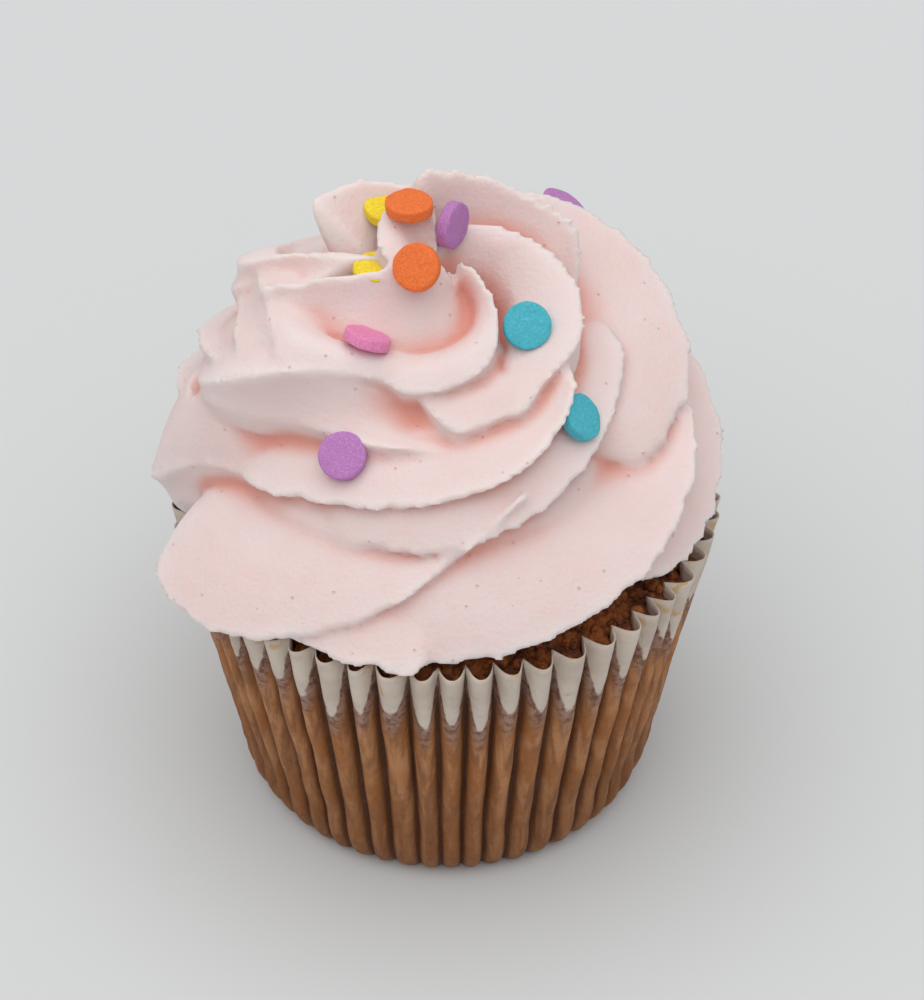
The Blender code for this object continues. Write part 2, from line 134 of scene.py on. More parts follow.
def ease(tree, value, low, high, to_low=0.0, to_high=1.0):
    """A smooth step from to_low to to_high as the value goes from low to high."""
    made = add_node(tree, "ShaderNodeMapRange", {"interpolation_type": "SMOOTHSTEP"}, Value=value,
                    From_Min=low, From_Max=high, To_Min=to_low, To_Max=to_high)
    return made.outputs[0]


def speckle(tree, where, size, detail=2.0, roughness=0.5):
    """Soft noise round a half, with features about this many metres across."""
    made = add_node(tree, "ShaderNodeTexNoise", Vector=where, Scale=1.0 / size,
                    Detail=detail, Roughness=roughness)
    return made.outputs[0]


def stretched(tree, where, scale):
    """The same place with its axes stretched, which turns round noise into streaks."""
    made = tree.nodes.new("ShaderNodeVectorMath")
    made.operation = "MULTIPLY"
    feed(tree, made.inputs[0], where)
    made.inputs[1].default_value = scale
    return made.outputs[0]


def blend_colours(tree, share, first, second, mode="MIX"):
    """The first colour turning into the second as the share goes from 0 to 1."""
    made = tree.nodes.new("ShaderNodeMix")
    made.data_type = "RGBA"
    made.blend_type = mode
    feed(tree, made.inputs[0], share)
    feed(tree, made.inputs[6], first)
    feed(tree, made.inputs[7], second)
    return made.outputs[2]


def bump(tree, height, depth, under=None):
    """Small relief in the shading: the height, from 0 to 1, stands for this many metres."""
    made = add_node(tree, "ShaderNodeBump", Strength=1.0, Distance=depth, Height=height)
    if under is not None:
        tree.links.new(under, made.inputs["Normal"])
    return made.outputs[0]


def measure_of(tree, name):
    """A number stored at every point of the piece, read by a material."""
    return add_node(tree, "ShaderNodeAttribute", {"attribute_name": name}).outputs["Fac"]


def object_place(tree):
    """Where a point of the piece lies, for a material."""
    return tree.nodes.new("ShaderNodeTexCoord").outputs["Object"]


def paint(red, green, blue):
    """A colour given as screen values from 0 to 255, as the linear values that nodes use."""
    linear = [(c / 255 / 12.92) if c <= 10 else ((c / 255 + 0.055) / 1.055) ** 2.4
              for c in (red, green, blue)]
    return (*linear, 1.0)


def new_material(name):
    made = bpy.data.materials.new(name)
    made.use_nodes = True
    return made, made.node_tree, made.node_tree.nodes["Principled BSDF"]


print("node helpers ready")

# %% [markdown]
# ## The table and the light
#
# The cupcake stands on a plain pale sweep of card under one very broad, soft light overhead
# and a little in front. Surfaces that face up are bright, the front of the case is dimmer,
# and the shadow round the base is faint. A sun with a wide angle lights the card evenly.

# %% Floor, world and light
FLOOR_HALF = 3.0
card, tree, shader = new_material("pale_card")
shade = speckle(tree, object_place(tree), 0.35, 1.0)
card_colour = blend_colours(tree, shade, (0.66, 0.67, 0.67, 1), (0.68, 0.69, 0.69, 1))
feed(tree, shader.inputs["Base Color"], card_colour)
shader.inputs["Roughness"].default_value = 0.9
shader.inputs["Specular IOR Level"].default_value = 0.1

floor_mesh = bpy.data.meshes.new("floor")
floor_mesh.from_pydata([(-FLOOR_HALF, -FLOOR_HALF, 0), (FLOOR_HALF, -FLOOR_HALF, 0),
                        (FLOOR_HALF, FLOOR_HALF, 0), (-FLOOR_HALF, FLOOR_HALF, 0)], [], [(0, 1, 2, 3)])
floor_mesh.materials.append(card)
floor = bpy.data.objects.new("floor", floor_mesh)
floor.location.z = -0.05 * MM
bpy.context.scene.collection.objects.link(floor)

LIGHT_STRENGTH = 1.95
LIGHT_WIDTH = math.radians(85)
LIGHT_FROM = Vector((-0.08, -0.20, 1.0))
lamp_data = bpy.data.lights.new("soft_light", "SUN")
lamp_data.energy = LIGHT_STRENGTH
lamp_data.angle = LIGHT_WIDTH
lamp = bpy.data.objects.new("soft_light", lamp_data)
lamp.rotation_euler = LIGHT_FROM.to_track_quat("Z", "Y").to_euler()
bpy.context.scene.collection.objects.link(lamp)

ROOM_STRENGTH = 0.42
room = bpy.data.worlds.new("room")
room.use_nodes = True
room.node_tree.nodes["Background"].inputs["Color"].default_value = (0.97, 0.985, 1.0, 1.0)
room.node_tree.nodes["Background"].inputs["Strength"].default_value = ROOM_STRENGTH
bpy.context.scene.world = room
bpy.context.scene.view_settings.view_transform = "Standard"
print("light", LIGHT_STRENGTH, "and room", ROOM_STRENGTH)

# %% [markdown]
# ## Growing pieces with Geometry Nodes
#
# A piece that follows a rule is grown by a tree of Geometry Nodes: the pleated paper, the
# crumb of the cake, the loose crumbs and the sugar discs. A tree has named inputs for its
# sizes and a fixed seed. Its result is then copied into a plain mesh.

# %% Geometry Nodes helpers
def new_tree(name, inputs):
    """An empty Geometry Nodes tree with named inputs: returns it with its inputs and outputs."""
    made = bpy.data.node_groups.new(name, "GeometryNodeTree")
    made.interface.new_socket("Geometry", in_out="INPUT", socket_type="NodeSocketGeometry")
    for label, value in inputs.items():
        kind = "NodeSocketInt" if isinstance(value, int) else "NodeSocketFloat"
        made.interface.new_socket(label, in_out="INPUT", socket_type=kind).default_value = value
    made.interface.new_socket("Geometry", in_out="OUTPUT", socket_type="NodeSocketGeometry")
    return made, made.nodes.new("NodeGroupInput").outputs, made.nodes.new("NodeGroupOutput").inputs


def finish_tree(tree, geometry, material, sink):
    """End a tree: smooth, with real geometry in place of instances, and the piece's material."""
    smooth = add_node(tree, "GeometryNodeSetShadeSmooth", Geometry=geometry)
    real = add_node(tree, "GeometryNodeRealizeInstances", Geometry=smooth.outputs[0])
    done = add_node(tree, "GeometryNodeSetMaterial", Geometry=real.outputs[0], Material=material)
    tree.links.new(done.outputs[0], sink["Geometry"])


def stored(tree, name):
    """A number stored at every point, read inside a Geometry Nodes tree."""
    made = add_node(tree, "GeometryNodeInputNamedAttribute", {"data_type": "FLOAT"}, Name=name)
    return made.outputs[0]


def own_place(tree):
    """Where a point of the geometry lies, inside a Geometry Nodes tree."""
    return tree.nodes.new("GeometryNodeInputPosition").outputs[0]


def roughened(tree, geometry, where, closeness, depth):
    """The geometry with every point pushed a little, so that its surface is uneven."""
    noise = add_node(tree, "ShaderNodeTexNoise", Vector=where, Scale=closeness, Detail=3.0)
    swing = tree.nodes.new("ShaderNodeVectorMath")
    swing.operation = "SUBTRACT"
    feed(tree, swing.inputs[0], noise.outputs["Color"])
    swing.inputs[1].default_value = (0.5, 0.5, 0.5)
    push = add_node(tree, "ShaderNodeVectorMath", {"operation": "SCALE"},
                    Vector=swing.outputs[0], Scale=depth)
    return add_node(tree, "GeometryNodeSetPosition", Geometry=geometry, Offset=push.outputs[0]).outputs[0]


def settle(item):
    """Turn what the object's modifiers make into its own plain mesh, and drop them."""
    graph = bpy.context.evaluated_depsgraph_get()
    made = bpy.data.meshes.new_from_object(item.evaluated_get(graph))
    item.modifiers.clear()
    item.data = made
    return item


def grow(item, tree, values):
    """Run a tree on an object, its inputs set by their identifiers, and keep the result."""
    modifier = item.modifiers.new(tree.name, "NODES")
    modifier.node_group = tree
    for socket in tree.interface.items_tree:
        if socket.in_out == "INPUT" and socket.name in values:
            modifier[socket.identifier] = values[socket.name]
    return settle(item)


def new_object(name, rows, faces):
    """An object with a mesh of these points, in metres, and faces."""
    mesh = bpy.data.meshes.new(name)
    mesh.from_pydata(np.asarray(rows).tolist(), [], [tuple(face) for face in faces])
    made = bpy.data.objects.new(name, mesh)
    bpy.context.scene.collection.objects.link(made)
    return made


def store(item, name, values):
    """Keep a number at every point of an object's mesh."""
    item.data.attributes.new(name, "FLOAT", "POINT").data.foreach_set("value", np.asarray(values, np.float32))


def triangles_of(item):
    return sum(len(p.vertices) - 2 for p in item.data.polygons)


def bridge(first, second, count):
    """The quads between two rings of points that start at these numbers."""
    return [(first + i, first + (i + 1) % count, second + (i + 1) % count, second + i) for i in range(count)]


print("tree helpers ready")

# %% [markdown]
# ## The paper case: its pleats
#
# The case is one round sheet of thin paper pressed into a cup. Its side is gathered into
# about fifty uneven pleats: the outward fronts are broad and rounded, and the folds between
# them are sharp. A flat grid is drawn first, with each point's turn round the cup, how far
# it bulges between fold and front, how high it rises, and one number for each pleat.

# %% Grid of the paper
PLEATS = 54
PLEAT_SEED = 11
PLEAT_UNEVENNESS = 0.17
PLEAT_COLUMNS = 12        # vertical lines of points in one pleat
PLEAT_ROUNDNESS = 2.3     # 2 would be a parabola; more is broader in front and sharper in the fold
BASE_RADIUS, SHOULDER_RADIUS, RIM_RADIUS = 24.5 * MM, 28.6 * MM, 35.0 * MM
BASE_DEPTH, SHOULDER_DEPTH, RIM_DEPTH = 0.35 * MM, 1.5 * MM, 2.6 * MM    # of the pleats
SHOULDER_HEIGHT = 9.0 * MM
CASE_HEIGHT = case_high.z
SIDE_ROWS = 36


def pleat_columns():
    """Turn, bulge and pleat number of every vertical line of the pleated side."""
    random = np.random.default_rng(PLEAT_SEED)
    widths = 1.0 + PLEAT_UNEVENNESS * random.uniform(-1.0, 1.0, PLEATS)
    edges = np.concatenate([[0.0], np.cumsum(widths)]) * (2 * math.pi / widths.sum())
    along = np.arange(PLEAT_COLUMNS) / PLEAT_COLUMNS
    turns = edges[:-1, None] + along * np.diff(edges)[:, None]
    bulge = 1.0 - 2.0 * np.abs(2.0 * along - 1.0) ** PLEAT_ROUNDNESS
    return turns.ravel(), np.tile(bulge, PLEATS), np.repeat(np.arange(PLEATS), PLEAT_COLUMNS)


turns, bulges, pleat_numbers = pleat_columns()
COLUMNS = len(turns)
base_rows = [(0.0, reach) for reach in (0.2, 0.4, 0.6, 0.75, 0.88, 0.96)]
corner_rows = [(SHOULDER_HEIGHT * (1 - math.cos(a)), 1.0) for a in np.linspace(0, math.pi / 2, 9)]
side_rows = [(h, 1.0) for h in np.linspace(SHOULDER_HEIGHT, CASE_HEIGHT, SIDE_ROWS + 1)[1:]]
paper_rows = base_rows + corner_rows + side_rows


def ring_faces(rows):
    """A fan round the first point, then quads between each ring of points and the next."""
    faces = [(0, 1 + (i + 1) % COLUMNS, 1 + i) for i in range(COLUMNS)]
    for row in range(rows - 1):
        faces += bridge(1 + row * COLUMNS, 1 + (row + 1) * COLUMNS, COLUMNS)
    return faces


print(COLUMNS, "columns and", len(paper_rows), "rows of paper")

# %% [markdown]
# ## The paper case: its shape
#
# The tree turns the flat grid into the cup. The radius grows from the base, round a soft
# corner, and up the sloping side; the pleats deepen on the way, and a little noise creases
# the paper so that no two pleats are alike. Solidify then gives the paper its thickness.

# %% Tree of the pleated paper
def paper_tree(material):
    tree, source, sink = new_tree("pleated paper", {
        "Base Radius": 0.0245, "Shoulder Radius": 0.0286, "Rim Radius": 0.035,
        "Shoulder Height": 0.009, "Case Height": 0.044, "Base Depth": 0.0003,
        "Shoulder Depth": 0.0011, "Rim Depth": 0.0023, "Crumple": 0.0002, "Sway": 0.008, "Seed": 1})
    turn, bulge = stored(tree, "turn"), stored(tree, "bulge")
    height, reach, pleat = stored(tree, "height"), stored(tree, "reach"), stored(tree, "pleat")

    low = calc(tree, "MINIMUM", calc(tree, "DIVIDE", height, source["Shoulder Height"]), 1.0)
    left_over = calc(tree, "POWER", minus(tree, 1.0, low), 2.0)
    low = calc(tree, "SQRT", minus(tree, 1.0, left_over))
    span = minus(tree, source["Case Height"], source["Shoulder Height"])
    above = calc(tree, "DIVIDE", minus(tree, height, source["Shoulder Height"]), span)
    above = calc(tree, "MAXIMUM", above, 0.0)

    def graded(base, shoulder, rim):
        """A size that goes from its base value, through the corner, up to the rim."""
        first = times(tree, low, minus(tree, shoulder, base))
        last = times(tree, above, minus(tree, rim, shoulder))
        return plus(tree, base, plus(tree, first, last))

    radius = graded(source["Base Radius"], source["Shoulder Radius"], source["Rim Radius"])
    depth = graded(source["Base Depth"], source["Shoulder Depth"], source["Rim Depth"])

    # Each pleat has its own depth, and its fold sways a little from side to side on the way up.
    own = add_node(tree, "ShaderNodeTexWhiteNoise", {"noise_dimensions": "2D"},
                   Vector=point(tree, pleat, source["Seed"])).outputs["Value"]
    deep = times(tree, depth, plus(tree, 0.78, times(tree, own, 0.44)))
    path = point(tree, times(tree, pleat, 3.7), times(tree, height, 45.0), source["Seed"])
    lean = minus(tree, add_node(tree, "ShaderNodeTexNoise", Vector=path, Scale=1.0).outputs[0], 0.5)
    fold = times(tree, minus(tree, 1.0, bulge), 0.5)
    sway = times(tree, lean, source["Sway"], fold, low)
    turn = plus(tree, turn, sway)

    pull = times(tree, deep, fold, reach)
    out = times(tree, minus(tree, radius, pull), reach)
    across, back = calc(tree, "COSINE", turn), calc(tree, "SINE", turn)
    flat = point(tree, times(tree, out, across), times(tree, out, back), height)
    crease = speckle(tree, stretched(tree, flat, (1.0, 1.0, 0.45)), 0.0042, 3.0)
    crease = times(tree, minus(tree, crease, 0.62), source["Crumple"], low, 2.0)
    out = plus(tree, out, crease)
    spot = point(tree, times(tree, out, across), times(tree, out, back), height)
    shaped = add_node(tree, "GeometryNodeSetPosition", Geometry=source["Geometry"], Position=spot)
    finish_tree(tree, shaped.outputs[0], material, sink)
    return tree


print("paper tree ready")

# %% [markdown]
# ## The paper case: its finish
#
# The paper is white, but baking has soaked its side with brown from the cake. Near the rim a
# white tongue stays on the front of each pleat, with a ragged purplish-grey edge, and the
# folds are brown almost to the top. Lower down the brown is streaked and darker towards the
# bottom, and darker still in the folds, partly from the stain and partly as painted shade.
# A few yellow spots of fat show on the white.

# %% Baked paper material
def baked_paper():
    material, tree, shader = new_material("baked_paper")
    where = object_place(tree)
    bulge, height = measure_of(tree, "bulge"), measure_of(tree, "height")
    tongue = measure_of(tree, "tongue")
    front = times(tree, plus(tree, bulge, 1.0), 0.5)
    below_rim = calc(tree, "DIVIDE", minus(tree, CASE_HEIGHT, height), MM)

    edge = times(tree, calc(tree, "POWER", front, 1.15), tongue)
    ragged = minus(tree, speckle(tree, where, 2.2 * MM, 3.0, 0.55), 0.5)
    edge = plus(tree, plus(tree, edge, 0.3), times(tree, ragged, 3.4))
    past = minus(tree, below_rim, edge)
    # no stain comes loose from the brown below and stands alone up by the rim
    joined = calc(tree, "MAXIMUM", ease(tree, below_rim, 2.5, 4.5), ease(tree, front, 0.6, 0.3))
    stained = times(tree, ease(tree, past, -0.35, 0.45), joined)
    mottled = ease(tree, past, 6.5, 0.6)

    streak = speckle(tree, stretched(tree, where, (1.0, 1.0, 0.10)), 1.3 * MM, 3.0, 0.6)
    cloud = speckle(tree, where, 6.0 * MM, 3.0, 0.6)
    fleck = speckle(tree, where, 1.0 * MM, 3.0, 0.65)
    brown = blend_colours(tree, ease(tree, streak, 0.36, 0.64), paint(142, 91, 52), paint(186, 130, 84))
    brown = blend_colours(tree, ease(tree, cloud, 0.42, 0.68), brown, paint(160, 100, 48))
    brown = blend_colours(tree, ease(tree, fleck, 0.60, 0.78, 0.0, 0.55), brown, paint(104, 62, 36))
    # Painted shade in the folds, on top of the darker cake stain there: the brown deepens towards each fold.
    fold_stain_and_shade = ease(tree, front, 0.75, 0.10, 0.0, 0.95)
    brown = blend_colours(tree, ease(tree, below_rim, 16.0, 40.0, 0.0, 0.5), brown, paint(112, 66, 34))
    brown = blend_colours(tree, fold_stain_and_shade, brown, paint(80, 42, 18))
    grey = blend_colours(tree, ease(tree, fleck, 0.40, 0.62), paint(160, 132, 124), paint(100, 70, 60))
    brown = blend_colours(tree, times(tree, mottled, 0.75), brown, grey)

    white = blend_colours(tree, ease(tree, cloud, 0.35, 0.7), paint(214, 200, 186), paint(198, 182, 168))
    fat = ease(tree, speckle(tree, where, 3.4 * MM, 2.0, 0.55), 0.62, 0.70, 0.0, 0.75)
    white = blend_colours(tree, fat, white, paint(203, 163, 106))
    feed(tree, shader.inputs["Base Color"], blend_colours(tree, stained, white, brown))

    feed(tree, shader.inputs["Roughness"], ease(tree, fleck, 0.3, 0.7, 0.52, 0.74))
    shader.inputs["Specular IOR Level"].default_value = 0.32
    fibre = speckle(tree, stretched(tree, where, (1.0, 1.0, 0.35)), 0.5 * MM, 4.0, 0.65)
    wrinkle = speckle(tree, stretched(tree, where, (0.5, 0.5, 1.6)), 2.4 * MM, 2.0, 0.5)
    tree.links.new(bump(tree, fibre, 0.10 * MM, bump(tree, wrinkle, 0.22 * MM)), shader.inputs["Normal"])
    return material


# %% Make the paper case
TONGUE_SEED = 5
PAPER_THICKNESS = 0.16 * MM
heights, reaches = [0.0], [0.0]
for height, reach in paper_rows:
    heights += [height] * COLUMNS
    reaches += [reach] * COLUMNS
case = new_object("paper_case_pleated", np.zeros((len(heights), 3)), ring_faces(len(paper_rows)))
for name, column in (("turn", turns), ("bulge", bulges), ("pleat", pleat_numbers)):
    store(case, name, np.concatenate([[0.0], np.tile(column, len(paper_rows))]))
store(case, "height", heights)
store(case, "reach", reaches)
tongue_lengths = np.random.default_rng(TONGUE_SEED).uniform(7.0, 11.0, PLEATS)[pleat_numbers]
store(case, "tongue", np.concatenate([[0.0], np.tile(tongue_lengths, len(paper_rows))]))
grow(case, paper_tree(baked_paper()), {
    "Base Radius": BASE_RADIUS, "Shoulder Radius": SHOULDER_RADIUS, "Rim Radius": RIM_RADIUS,
    "Shoulder Height": SHOULDER_HEIGHT, "Case Height": CASE_HEIGHT, "Base Depth": BASE_DEPTH,
    "Shoulder Depth": SHOULDER_DEPTH, "Rim Depth": RIM_DEPTH, "Crumple": 0.50 * MM, "Sway": 0.05, "Seed": 4})
wall = case.modifiers.new("paper thickness", "SOLIDIFY")
wall.thickness = PAPER_THICKNESS
wall.offset = -1.0
settle(case)
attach(case, "root")
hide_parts("paper_case")
print("paper case:", triangles_of(case), "triangles")

# %% [markdown]
# ## The cake
#
# The cake fills the case and keeps the shape of its pleats. Only a band of it shows, between
# the edge of the paper and the frosting: an open, moist crumb, dark red-brown with golden
# flecks. A fine polar mesh takes its crumb from noise in a Geometry Nodes tree.

# %% Shape of the cake
INSET_LOW, INSET_HIGH = 0.8, 0.5    # mm between the case's outside and the cake, low down and at the top
FOLD_INSET = 1.25           # how much deeper the cake goes in at the folds than the paper does
CAKE_FLOOR = 0.5 * MM
CAKE_EDGE_HEIGHT = 42.4     # mm, where the crumb meets the paper
CAKE_DOME = 5.2             # mm, how far its middle rises above that edge
CAKE_EDGE_RADIUS = 32.7     # mm
DOME_CURVE = 2.2            # 2 would be a parabola; more is flatter in the middle


def dome_height(radius):
    """Height of the cake's top, in mm, at a distance in mm from its middle."""
    share = np.clip(np.asarray(radius, float) / CAKE_EDGE_RADIUS, 0.0, 1.0)
    return CAKE_EDGE_HEIGHT + CAKE_DOME * (1.0 - share ** DOME_CURVE)


def side_of_case(height):
    """Outer radius and pleat depth of the case at a height, all in metres."""
    low = math.sqrt(1.0 - (1.0 - min(height / SHOULDER_HEIGHT, 1.0)) ** 2)
    above = max(height - SHOULDER_HEIGHT, 0.0) / (CASE_HEIGHT - SHOULDER_HEIGHT)
    radius = BASE_RADIUS + low * (SHOULDER_RADIUS - BASE_RADIUS) + above * (RIM_RADIUS - SHOULDER_RADIUS)
    depth = BASE_DEPTH + low * (SHOULDER_DEPTH - BASE_DEPTH) + above * (RIM_DEPTH - SHOULDER_DEPTH)
    return radius, depth


def cake_rows():
    """Rings of points of the cake from the bottom, up the side, and over the top."""
    rings = []
    for reach in (0.3, 0.7):
        rings.append(cake_ring(CAKE_FLOOR, reach, CAKE_FLOOR))
    for height in list(np.linspace(0.8, 9.0, 6)) + list(np.linspace(12, 40, 12)) + [41.0, 41.8, 42.2]:
        rings.append(cake_ring(height * MM, 1.0, height * MM))
    for reach in list(np.linspace(0.994, 0.72, 30)) + [0.6, 0.45, 0.3, 0.15]:
        rings.append(cake_ring(CAKE_EDGE_HEIGHT * MM, reach, None))
    return rings


def cake_ring(height, reach, level):
    """One ring inside the pleats at a height, drawn in to a share of its radius."""
    radius, depth = side_of_case(height)
    inset = (INSET_LOW + (INSET_HIGH - INSET_LOW) * min(1.0, height / CASE_HEIGHT) ** 6) * MM
    out = (radius - inset - depth * FOLD_INSET * 0.5 * (1.0 - bulges)) * reach
    tops = dome_height(out / MM) * MM if level is None else np.full(COLUMNS, level)
    return np.stack([out * np.cos(turns), out * np.sin(turns), tops], axis=1)


def crumb_tree(material):
    """Pushes the top of the cake up and down into lumps and holes of crumb."""
    tree, source, sink = new_tree("cake crumb", {"Lump Size": 0.001, "Lump Depth": 0.001,
                                                 "Grain Size": 0.0004, "Grain Depth": 0.0003, "Lowest": 0.04})
    where = own_place(tree)
    height = add_node(tree, "ShaderNodeSeparateXYZ", Vector=where).outputs["Z"]
    lump_scale = calc(tree, "DIVIDE", 1.0, source["Lump Size"])
    grain_scale = calc(tree, "DIVIDE", 1.0, source["Grain Size"])
    lumps = add_node(tree, "ShaderNodeTexVoronoi", {"feature": "SMOOTH_F1"}, Vector=where, Scale=lump_scale,
                     Smoothness=0.35).outputs["Distance"]
    grain = add_node(tree, "ShaderNodeTexNoise", Vector=where, Scale=grain_scale, Detail=3.0).outputs[0]
    rise = times(tree, minus(tree, 0.38, lumps), source["Lump Depth"])
    rise = plus(tree, rise, times(tree, minus(tree, grain, 0.5), source["Grain Depth"]))
    top = ease(tree, height, source["Lowest"], plus(tree, source["Lowest"], 0.0012))
    push = times(tree, rise, top)
    offset = point(tree, z=push)
    shaped = add_node(tree, "GeometryNodeSetPosition", Geometry=source["Geometry"], Offset=offset)
    finish_tree(tree, shaped.outputs[0], material, sink)
    return tree


# %% [markdown]
# ## The colour of the crumb
#
# The crumb is brown sugar dark where it is moist, with near-black red specks as painted shade
# in its small holes, and golden flecks that are partly golden grains where sugar has caught and
# partly painted highlights on its lumps. It shines faintly, since fat has soaked to the surface.

# %% Crumb material
def crumb_material():
    material, tree, shader = new_material("brown_crumb")
    where = object_place(tree)
    cloud = speckle(tree, where, 2.6 * MM, 3.0, 0.6)
    fleck = speckle(tree, where, 0.7 * MM, 3.0, 0.6)
    brown = blend_colours(tree, ease(tree, cloud, 0.38, 0.64), paint(96, 44, 18), paint(160, 88, 30))
    # Golden flecks: partly golden grains of caught sugar, partly painted highlights on the lumps.
    brown = blend_colours(tree, ease(tree, fleck, 0.60, 0.74, 0.0, 0.8), brown, paint(190, 118, 40))
    # Painted shade: near-black red specks for the small holes of the crumb.
    brown = blend_colours(tree, ease(tree, fleck, 0.44, 0.30, 0.0, 0.8), brown, paint(46, 14, 8))
    feed(tree, shader.inputs["Base Color"], brown)
    feed(tree, shader.inputs["Roughness"], ease(tree, fleck, 0.3, 0.7, 0.75, 0.42))
    shader.inputs["Specular IOR Level"].default_value = 0.45
    pores = speckle(tree, where, 0.35 * MM, 4.0, 0.65)
    tree.links.new(bump(tree, pores, 0.25 * MM), shader.inputs["Normal"])
    return material


# %% Make the cake
brown_crumb = crumb_material()
rings = cake_rows()
cake_points = np.concatenate([[[0.0, 0.0, CAKE_FLOOR]]] + rings + [[[0.0, 0.0, float(dome_height(0)) * MM]]])
last = 1 + (len(rings) - 1) * COLUMNS
cake_faces = ring_faces(len(rings))
cake_faces += [(last + i, last + (i + 1) % COLUMNS, last + COLUMNS) for i in range(COLUMNS)]
cake = new_object("cake_crumb", cake_points, cake_faces)
grow(cake, crumb_tree(brown_crumb), {"Lump Size": 1.5 * MM, "Lump Depth": 1.5 * MM, "Grain Size": 0.6 * MM,
                                      "Grain Depth": 0.9 * MM, "Lowest": 41.0 * MM})
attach(cake, "root")
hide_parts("cake")
print("cake:", triangles_of(cake), "triangles")

# %% [markdown]
# ## Loose crumbs
#
# Where the cake tore away from the edge of the paper, crumbs stand loose on the band between
# paper and frosting. Each is a small lumpy ball, half sunk in the cake. A tree strews them
# over the rim of the cake only, since the frosting covers the rest.

# %% Make the loose crumbs
def loose_tree(material):
    tree, source, sink = new_tree("loose crumbs", {
        "Lowest": 0.0415, "Inside": 0.027, "Outside": 0.033, "Density": 300000.0,
        "Smallest": 0.0003, "Largest": 0.0007, "Lumpiness": 0.0004, "Seed": 3})
    where = own_place(tree)
    spot = add_node(tree, "ShaderNodeSeparateXYZ", Vector=where)
    flat = point(tree, spot.outputs[0], spot.outputs[1])
    reach = add_node(tree, "ShaderNodeVectorMath", {"operation": "LENGTH"}, Vector=flat).outputs["Value"]
    far = calc(tree, "GREATER_THAN", reach, source["Inside"])
    near = calc(tree, "LESS_THAN", reach, source["Outside"])
    high = calc(tree, "GREATER_THAN", spot.outputs[2], source["Lowest"])
    strewn = add_node(tree, "GeometryNodeDistributePointsOnFaces", Mesh=source["Geometry"],
                      Selection=times(tree, far, near, high), Density=source["Density"], Seed=source["Seed"])
    ball = add_node(tree, "GeometryNodeMeshIcoSphere", Radius=1.0, Subdivisions=3).outputs[0]
    size = add_node(tree, "FunctionNodeRandomValue", {"data_type": "FLOAT"})
    tree.links.new(source["Smallest"], size.inputs[2])
    tree.links.new(source["Largest"], size.inputs[3])
    placed = add_node(tree, "GeometryNodeInstanceOnPoints", Points=strewn.outputs[0], Instance=ball,
                      Rotation=strewn.outputs["Rotation"], Scale=size.outputs[1]).outputs[0]
    real = add_node(tree, "GeometryNodeRealizeInstances", Geometry=placed).outputs[0]
    finish_tree(tree, roughened(tree, real, where, 1100.0, source["Lumpiness"]), material, sink)
    return tree


crumbs = bpy.data.objects.new("loose_crumbs", cake.data.copy())
bpy.context.scene.collection.objects.link(crumbs)
grow(crumbs, loose_tree(brown_crumb), {
    "Lowest": 42.2 * MM, "Inside": 27.5 * MM, "Outside": 32.0 * MM, "Density": 0.40 / MM ** 2,
    "Smallest": 0.35 * MM, "Largest": 0.80 * MM, "Lumpiness": 0.9 * MM, "Seed": 3})
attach(crumbs, "root")
print("loose crumbs:", triangles_of(crumbs), "triangles")

# %% [markdown]
# ## The frosting: one rope, many ridges
#
# Buttercream is pressed through a star-shaped nozzle while the hand circles: one thick rope
# that climbs and draws in to a peak. Each tooth of the nozzle leaves a ridge, which starts
# low on the outside and winds up and inwards. So the swirl is built as the baker pipes it:
# a spiral for the middle of the rope, and blades that grow from it to the crest of a ridge.

# %% The spiral of the rope
SWIRL_CENTRE = (-0.6, 0.4)             # mm: the swirl sits a little to the left and back
SPIRAL_START, SPIRAL_END = -270.0, 745.0
ROPE_END = 560.0                       # beyond this the folds are the peak themselves
ROPE_RADIUS = (23.0, 1.0)              # from its start to its end, in mm
ROPE_HEIGHT = (52.0, 80.0)
ROPE_SIZE = (5.0, 3.0)
ROPE_DRAW_IN, ROPE_RISE = 1.5, 1.45    # how late along the spiral it narrows and climbs


def rope_at(angle):
    """Distance from the axis, height and thickness of the rope's middle, in mm."""
    share = min(1.0, max(0.0, (angle - SPIRAL_START) / (SPIRAL_END - SPIRAL_START)))
    near, far = ROPE_RADIUS
    low, high = ROPE_HEIGHT
    return (near + (far - near) * share ** ROPE_DRAW_IN, low + (high - low) * share ** ROPE_RISE,
            ROPE_SIZE[0] + (ROPE_SIZE[1] - ROPE_SIZE[0]) * share)


def turned(radius, height, angle):
    """Points at a distance from the swirl's axis, a height, and an angle in degrees."""
    facing = np.radians(angle)
    return np.stack([(SWIRL_CENTRE[0] + radius * np.cos(facing)) * MM,
                     (SWIRL_CENTRE[1] + radius * np.sin(facing)) * MM,
                     (height + 0 * facing) * MM], axis=-1)


def through(values, share):
    """A smooth curve through four values at even steps, at a share of the way along."""
    total = 0.0
    for i, value in enumerate(values):
        weight = 1.0
        for k in range(len(values)):
            if k != i:
                weight *= ((len(values) - 1) * share - k) / (i - k)
        total += weight * value
    return total


def tube(sections):
    """Join rings of points, one after another, into a closed tube with flat ends."""
    count = len(sections[0])
    faces = [tuple(reversed(range(count))), tuple(range((len(sections) - 1) * count, len(sections) * count))]
    for i in range(len(sections) - 1):
        faces += bridge(i * count, (i + 1) * count, count)
    return np.concatenate(sections), faces


print("rope starts", rope_at(SPIRAL_START), "and ends", rope_at(SPIRAL_END))

# %% [markdown]
# ## The frosting: the ridges
#
# A ridge is written down as its crest: the angles where it starts and ends along the spiral,
# then its distance from the axis and its height, in mm, at four even steps between them, and
# how full it is above and below. Cold butter tears as it leaves the nozzle, so the last
# millimetre of every crest is ragged.

